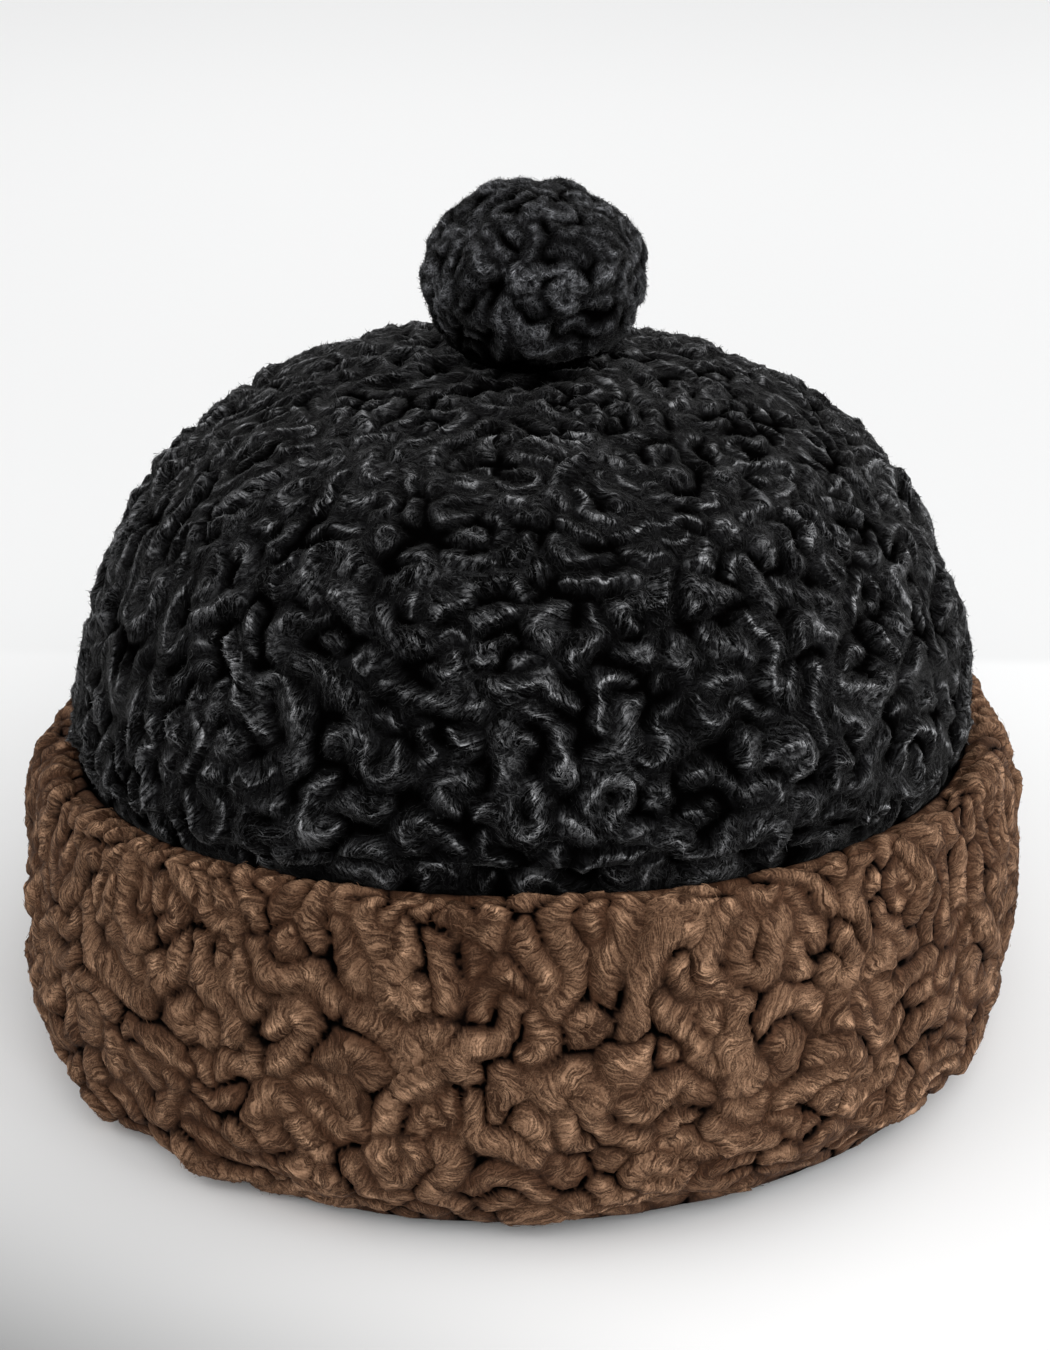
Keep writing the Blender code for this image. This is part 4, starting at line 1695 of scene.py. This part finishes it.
@dataclass
class Pompom(Pelt):
    """The stuffed bun on top, with a socket for its tie."""

    radius: float = 24.5 * MM
    centre_z: float = 170.5 * MM
    top_z: float = 188.9 * MM
    base_z: float = 150.2 * MM
    neck_radius: float = 9.0 * MM
    bare_rise: float = 1.0 * MM
    furry_rise: float = 5.0 * MM
    top_fullness: float = 1.95
    low_fullness: float = 2.6
    hole_radius: float = 1.9 * MM
    socket_depth: float = 9.0 * MM

    PLAIN = 1.5 * MM

    def section(self) -> list[Stretch]:
        """Gives the bun's section, from its top down outside and up its socket."""
        top = arch(self.radius, self.top_z - self.centre_z, self.centre_z, self.top_fullness,
                   math.pi / 2, 0.0)
        low = arch(self.radius, self.centre_z - self.base_z, self.centre_z, self.low_fullness,
                   0.0, -math.pi / 2)
        low = [point for point in low if point[0] > self.neck_radius]
        outside = [*top, *low[1:], (self.neck_radius, self.base_z)]
        socket_top = self.base_z + self.socket_depth
        socket = [(self.hole_radius, self.base_z), (self.hole_radius, socket_top), (0.0, socket_top)]
        return [Stretch(outside, Face.FUR, self.ring),
                *self.plain([outside[-1], socket[0]], socket[:2], socket[1:])]

    def share(self, radius: float, height: float) -> float:
        """Gives how far the fur stands: less and less towards the base."""
        return ramp(height - self.base_z, self.bare_rise, self.furry_rise)


@dataclass(frozen=True)
class PaperFinish(Finish):
    """Pale studio paper that is a little lighter beyond a seam, with painted shade towards its front left and
    beyond the seam at the right.

    Attributes:
        colour: Its colour beyond the seam.
        near_share: Brightness on this side of the seam, as a share.
        seam_y: Where the seam runs.
        corner_share: Brightness of the painted shade at the front left, as a share.
        corner_way: Direction towards the front left, where the painted shade lies.
        corner_span: Distances along it between which the painted shade darkens the paper.
        dip_share: Brightness just beyond the seam, as a share.
        dip_span: Distances between which it comes up again.
        right_share: Brightness of the painted shade beyond the seam at the right, as a share.
        right_span: Places from left to right between which it gets there.
    """

    colour: Colour = (0.92, 0.923, 0.925)
    near_share: float = 0.92
    seam_y: float = 0.175
    corner_share: float = 0.13
    corner_way: Point = (-0.50, -0.866)
    corner_span: tuple[float, float] = (0.095, 0.215)
    dip_share: float = 0.89
    dip_span: tuple[float, float] = (0.25, 0.85)
    right_share: float = 0.95
    right_span: tuple[float, float] = (-0.15, 0.25)

    SEAM_HALF = 4.0 * MM

    def make(self) -> bpy.types.Material:
        """Builds the material."""
        material, tree, shader = self.start()
        x, y, _ = tree.parts(tree.place())
        # Painted shade beyond the seam towards the right.
        beyond = tree.remap(x, *self.right_span, 1.0, self.right_share)
        beyond = beyond * tree.remap(y, *self.dip_span, self.dip_share, 1.0)
        far = tree.remap(y, self.seam_y - self.SEAM_HALF, self.seam_y + self.SEAM_HALF)
        far = far * (beyond - self.near_share) + self.near_share
        # Painted shade darkening the paper towards its front left.
        way = x * self.corner_way[0] + y * self.corner_way[1]
        painted_corner_shade = tree.remap(way, *self.corner_span, 1.0, self.corner_share)
        tree.feed(shader.inputs["Base Color"],
                  tree.mix(far * painted_corner_shade, (0.0, 0.0, 0.0, 1.0), (*self.colour, 1)))
        return material


@dataclass(frozen=True)
class Lamp:
    """A soft square lamp.

    Attributes:
        name: Its name.
        place: Where it hangs.
        size: Its side.
        power: Its power in watts.
    """

    name: str
    place: tuple[float, float, float]
    size: float
    power: float

    def hang(self, target: Vector) -> None:
        """Adds the lamp, turned towards a target."""
        light = bpy.data.lights.new(self.name, "AREA")
        light.shape = "SQUARE"
        light.size = self.size
        light.energy = self.power
        lamp = add_object(self.name, light)
        lamp.location = self.place
        lamp.rotation_euler = (target - Vector(self.place)).to_track_quat("-Z", "Y").to_euler()


@dataclass(frozen=True)
class Studio:
    """A pale floor, soft light and the camera.

    Attributes:
        floor_half: Half the floor's width.
        floor_z: Its height, a hair under the cap.
        paper: Its finish.
        sky: Brightness of the room all round.
        lamps: The lamps.
        target: What the lamps are turned to.
        camera_place: Where the camera stands.
        pitch: How far the camera looks down, in radians.
        roll: How far it is turned about its own axis.
        focal_pixels: Its focal length in pixels of the picture.
        picture_height: The picture's height in pixels.
        sensor: Height of the camera's sensor in millimetres.
        nearest: How near the camera sees.
    """

    floor_half: float = 4.0
    floor_z: float = -0.1 * MM
    paper: PaperFinish = PaperFinish("pale_paper", 0.8, 0.2)
    sky: float = 0.61
    lamps: tuple[Lamp, ...] = (
        Lamp("key", (0.95, 0.62, 1.35), 1.4, 7.0),
        Lamp("front_fill", (0.2, -1.5, 1.25), 1.4, 13.6),
        Lamp("side_fill", (1.2, -0.45, 0.8), 1.2, 9.8),
        Lamp("left_fill", (-1.1, -0.5, 0.9), 1.2, 6.0),
    )
    target: tuple[float, float, float] = (0.0, 0.0, 0.08)
    camera_place: tuple[float, float, float] = (0.4 * MM, -0.600, 0.359)
    pitch: float = 0.44
    roll: float = 0.010
    focal_pixels: float = 2992.0
    picture_height: int = 1350
    sensor: float = 24.0
    nearest: float = 0.01

    def build(self) -> None:
        """Sets up the floor, the light and the camera."""
        self.lay_floor()
        for lamp in self.lamps:
            lamp.hang(Vector(self.target))
        world = bpy.data.worlds.new("room")
        bpy.context.scene.world = world
        world.use_nodes = True
        backdrop = world.node_tree.nodes["Background"]
        backdrop.inputs["Color"].default_value = (1.0, 1.0, 1.0, 1.0)
        backdrop.inputs["Strength"].default_value = self.sky
        self.stand_camera()
        bpy.context.scene.view_settings.view_transform = "Standard"

    def lay_floor(self) -> None:
        """Lays the floor."""
        h, z = self.floor_half, self.floor_z
        mesh = bpy.data.meshes.new("floor")
        mesh.from_pydata([(-h, -h, z), (h, -h, z), (h, h, z), (-h, h, z)], [], [(0, 1, 2, 3)])
        floor = add_object("floor", mesh)
        mesh.materials.append(self.paper.make())

    def stand_camera(self) -> None:
        """Stands the camera where the photograph was taken from."""
        data = bpy.data.cameras.new("camera")
        data.sensor_fit = "VERTICAL"
        data.sensor_height = self.sensor
        data.lens = self.focal_pixels * self.sensor / self.picture_height
        data.clip_start = self.nearest
        camera = add_object("camera", data)
        turn = Matrix.Rotation(math.pi / 2 - self.pitch, 4, "X") @ Matrix.Rotation(self.roll, 4, "Z")
        camera.matrix_world = Matrix.Translation(self.camera_place) @ turn
        bpy.context.scene.camera = camera


SOFT_CRIMP = Crimp(0.10 * MM, 2.4 * MM)
BROWN_CRIMP = Crimp(0.20 * MM, 2.6 * MM)
BLACK: dict[str, Any] = {
    "band": (0.18, 0.09), "light_share": 1.0, "strand_width": 0.22 * MM, "crimp": SOFT_CRIMP,
    "crevice": (0.0, 0.34), "shut": 0.3, "veil": 0.8, "clump": 0.85}
BUN: dict[str, Any] = BLACK | {
    "band": (0.30, 0.16), "light_share": 0.45, "strand_width": 0.20 * MM, "veil": 0.7, "clump": 0.8}
BROWN: dict[str, Any] = {
    "band": (0.36, 0.18), "light_share": 0.74, "haze": 0.40, "strand_width": 0.21 * MM, "crimp": BROWN_CRIMP,
    "contrast": (0.36, 0.65), "clump": 0.2}
BLACK_PELT = PeltFinish("black_curls", 0.65, 0.03, haze=0.19, sheen=0.13, nap=0.2,
                        deep=(0.0003, 0.0003, 0.0004), middle=(0.0042, 0.0042, 0.0047),
                        light=(0.44, 0.444, 0.458), bump=0.20 * MM, gap=0.14, **BLACK)
BLACK_HAIR = StrandFinish("black_wool", 0.60, 0.07, haze=0.27, sheen=0.17, nap=0.15,
                          root=(0.0018, 0.0018, 0.0020), tip=(0.44, 0.444, 0.458), own_share=0.45, **BLACK)
BUN_PELT = PeltFinish("bun_curls", 0.6, 0.03, haze=0.28, sheen=0.12, nap=0.3, deep=(0.0003, 0.0003, 0.0004),
                      middle=(0.0065, 0.0065, 0.0074), light=(0.34, 0.345, 0.365), bump=0.20 * MM, gap=0.2,
                      **BUN)
BUN_HAIR = StrandFinish("bun_wool", 0.62, 0.06, haze=0.47, sheen=0.15, root=(0.0022, 0.0022, 0.0026),
                        tip=(0.40, 0.408, 0.435), own_share=0.6, **BUN)
BROWN_PELT = PeltFinish("brown_curls", 0.78, 0.08, nap=0.22, crevice=(0.01, 0.30),
                        deep=(0.004, 0.0015, 0.0006), middle=(0.068, 0.0285, 0.0138),
                        light=(0.60, 0.360, 0.221), bump=0.14 * MM, gap=0.45, **BROWN)
BROWN_HAIR = StrandFinish("brown_wool", 0.75, 0.06, nap=0.2, crevice=(0.01, 0.32),
                          root=(0.058, 0.0245, 0.0120), tip=(0.56, 0.336, 0.206), own_share=0.25, **BROWN)
BLACK_FLESH = FleshFinish("dark_suede", 0.9, 0.1, dark=(0.012, 0.011, 0.011), light=(0.032, 0.030, 0.029))
BROWN_FLESH = FleshFinish("brown_suede", 0.9, 0.1, dark=(0.060, 0.036, 0.024), light=(0.12, 0.075, 0.05))
THREAD = FleshFinish("black_thread", 0.8, 0.2, dark=(0.010, 0.010, 0.011), light=(0.028, 0.028, 0.030),
                     nap=1500.0)

CROWN_CURLS = CurlTraits(
    seed=11, spacing=6.2 * MM, variety=0.30, patch=20 * MM, depth=4.4 * MM, lengths=(7 * MM, 27 * MM),
    bends=(0.40, 0.85), turns=(0.9, 3.4), straights=(0.4, 1.3), straight_share=0.34, flanks=(0.95, 0.58),
    crest=1.0, filled=0.48, lean=1.2 * MM, lowest=0.5, slant=(0.3, 1.7),
    sweep=90.0, groove=0.22 * MM, lock=2.1 * MM, undulation=1.2 * MM, opening=1.2)
CUFF_CURLS = CurlTraits(
    seed=31, spacing=5.8 * MM, variety=0.40, patch=18 * MM, depth=4.0 * MM, lengths=(8 * MM, 30 * MM),
    bends=(0.42, 0.9), turns=(0.8, 3.4), straights=(0.5, 1.5), straight_share=0.34, flanks=(2.9, 1.5),
    crest=0.62, filled=0.56, lean=1.3 * MM, lowest=0.5, slant=(0.1, 1.5),
    sweep=90.0, groove=0.24 * MM, lock=1.5 * MM, undulation=2.2 * MM, opening=1.9)
POMPOM_CURLS = CurlTraits(
    seed=5, spacing=4.0 * MM, variety=0.30, patch=10 * MM, depth=2.2 * MM, lengths=(3 * MM, 16 * MM),
    bends=(0.45, 0.9), turns=(0.9, 3.2), straights=(0.4, 1.2), straight_share=0.3, flanks=(1.2, 0.7),
    crest=1.0, filled=0.58, lean=1.4 * MM, lowest=0.45, slant=(0.2, 1.5),
    sweep=120.0, groove=0.2 * MM, lock=1.6 * MM, undulation=2.4 * MM, opening=1.4)

CROWN_STRANDS = StrandTraits(seed=101, count=48000, length=2.5 * MM, width=0.17 * MM, lift=0.15 * MM,
                             tip=0.9 * MM, stray=0.7, frizz=200.0, joints=3)
CROWN_FUZZ = StrandTraits(seed=104, count=31000, length=2.0 * MM, width=0.13 * MM, lift=0.25 * MM,
                          tip=1.5 * MM, stray=3.1, frizz=200.0, joints=3)
CUFF_STRANDS = StrandTraits(seed=102, count=13800, length=4.8 * MM, width=0.20 * MM, lift=0.10 * MM,
                            tip=0.7 * MM, stray=0.2, frizz=30.0, crimp=0.16 * MM, joints=8)
POMPOM_STRANDS = StrandTraits(seed=103, count=30000, length=2.5 * MM, width=0.15 * MM, lift=0.25 * MM,
                              tip=1.1 * MM, stray=1.2, frizz=260.0, joints=3)

CROWN_GRAIN = GrainMap(zones=(GrainZone(Grain.UPRIGHT, 0.03, 0.05, 0.55, (150.0, 235.0)),),
                       close_low=0.105, close_high=0.148, closest=0.72)
CUFF_GRAIN = GrainMap(zones=(GrainZone(Grain.UPRIGHT, 0.048, 0.062, 0.9),
                             GrainZone(Grain.LEVEL, 0.026, 0.014, 0.35)),
                      close_low=0.052, close_high=0.066, closest=0.88)
CUFF_SWELLS = (Swell((-0.077, -0.073, 0.012), 0.040, 2.6 * MM),
               Swell((-0.095, -0.045, 0.018), 0.045, 2.4 * MM),
               Swell((0.108, -0.025, 0.066), 0.036, 2.2 * MM),
               Swell((-0.106, -0.010, 0.066), 0.036, 2.6 * MM))
CROWN_SWELLS = (Swell((-0.070, 0.000, 0.137), 0.042, -2.2 * MM),)


def cap_pelts() -> list[Pelt]:
    """Lists the three furry pieces with their sizes and finishes."""
    return [
        Crown("crown_pelt", "crown", "black_karakul", 0.95 * MM, CROWN_CURLS, CROWN_STRANDS, BLACK_PELT,
              BLACK_HAIR, BLACK_FLESH, CROWN_GRAIN, slump=Slump(foot_rise=0.0), swells=CROWN_SWELLS,
              fuzz=CROWN_FUZZ),
        Cuff("cuff_pelt", "cuff", "brown_karakul", 0.87 * MM, CUFF_CURLS, CUFF_STRANDS, BROWN_PELT,
             BROWN_HAIR, BROWN_FLESH, CUFF_GRAIN, floor_z=0.0, slump=Slump(), swells=CUFF_SWELLS),
        # The pompom's underside gets painted shade below 166 mm.
        Pompom("pompom_pelt", "pompom", "black_karakul", 0.6 * MM, POMPOM_CURLS, POMPOM_STRANDS, BUN_PELT,
               BUN_HAIR, BLACK_FLESH, lean=1.5 * MM, lean_span=(150.3 * MM, 155.0 * MM),
               dim_span=(151.5 * MM, 166.0 * MM)),
    ]


def dress_tie() -> None:
    """Gives the tie its thread finish."""
    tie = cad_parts["pompom_tie"]
    tie.data.materials.clear()
    tie.data.materials.append(THREAD.make())
    log.info("pompom_tie: black thread")


def main() -> None:
    """Builds the cap's looks in order and reports each piece."""
    logging.basicConfig(level=logging.INFO, format="%(name)s: %(message)s")
    Studio().build()
    sower = StrandSower()
    for pelt in cap_pelts():
        for piece in pelt.make(sower):
            log.info("%s: %d triangles", piece.name, sum(len(p.vertices) - 2 for p in piece.data.polygons))
    dress_tie()


if __name__ == "__main__":
    main()
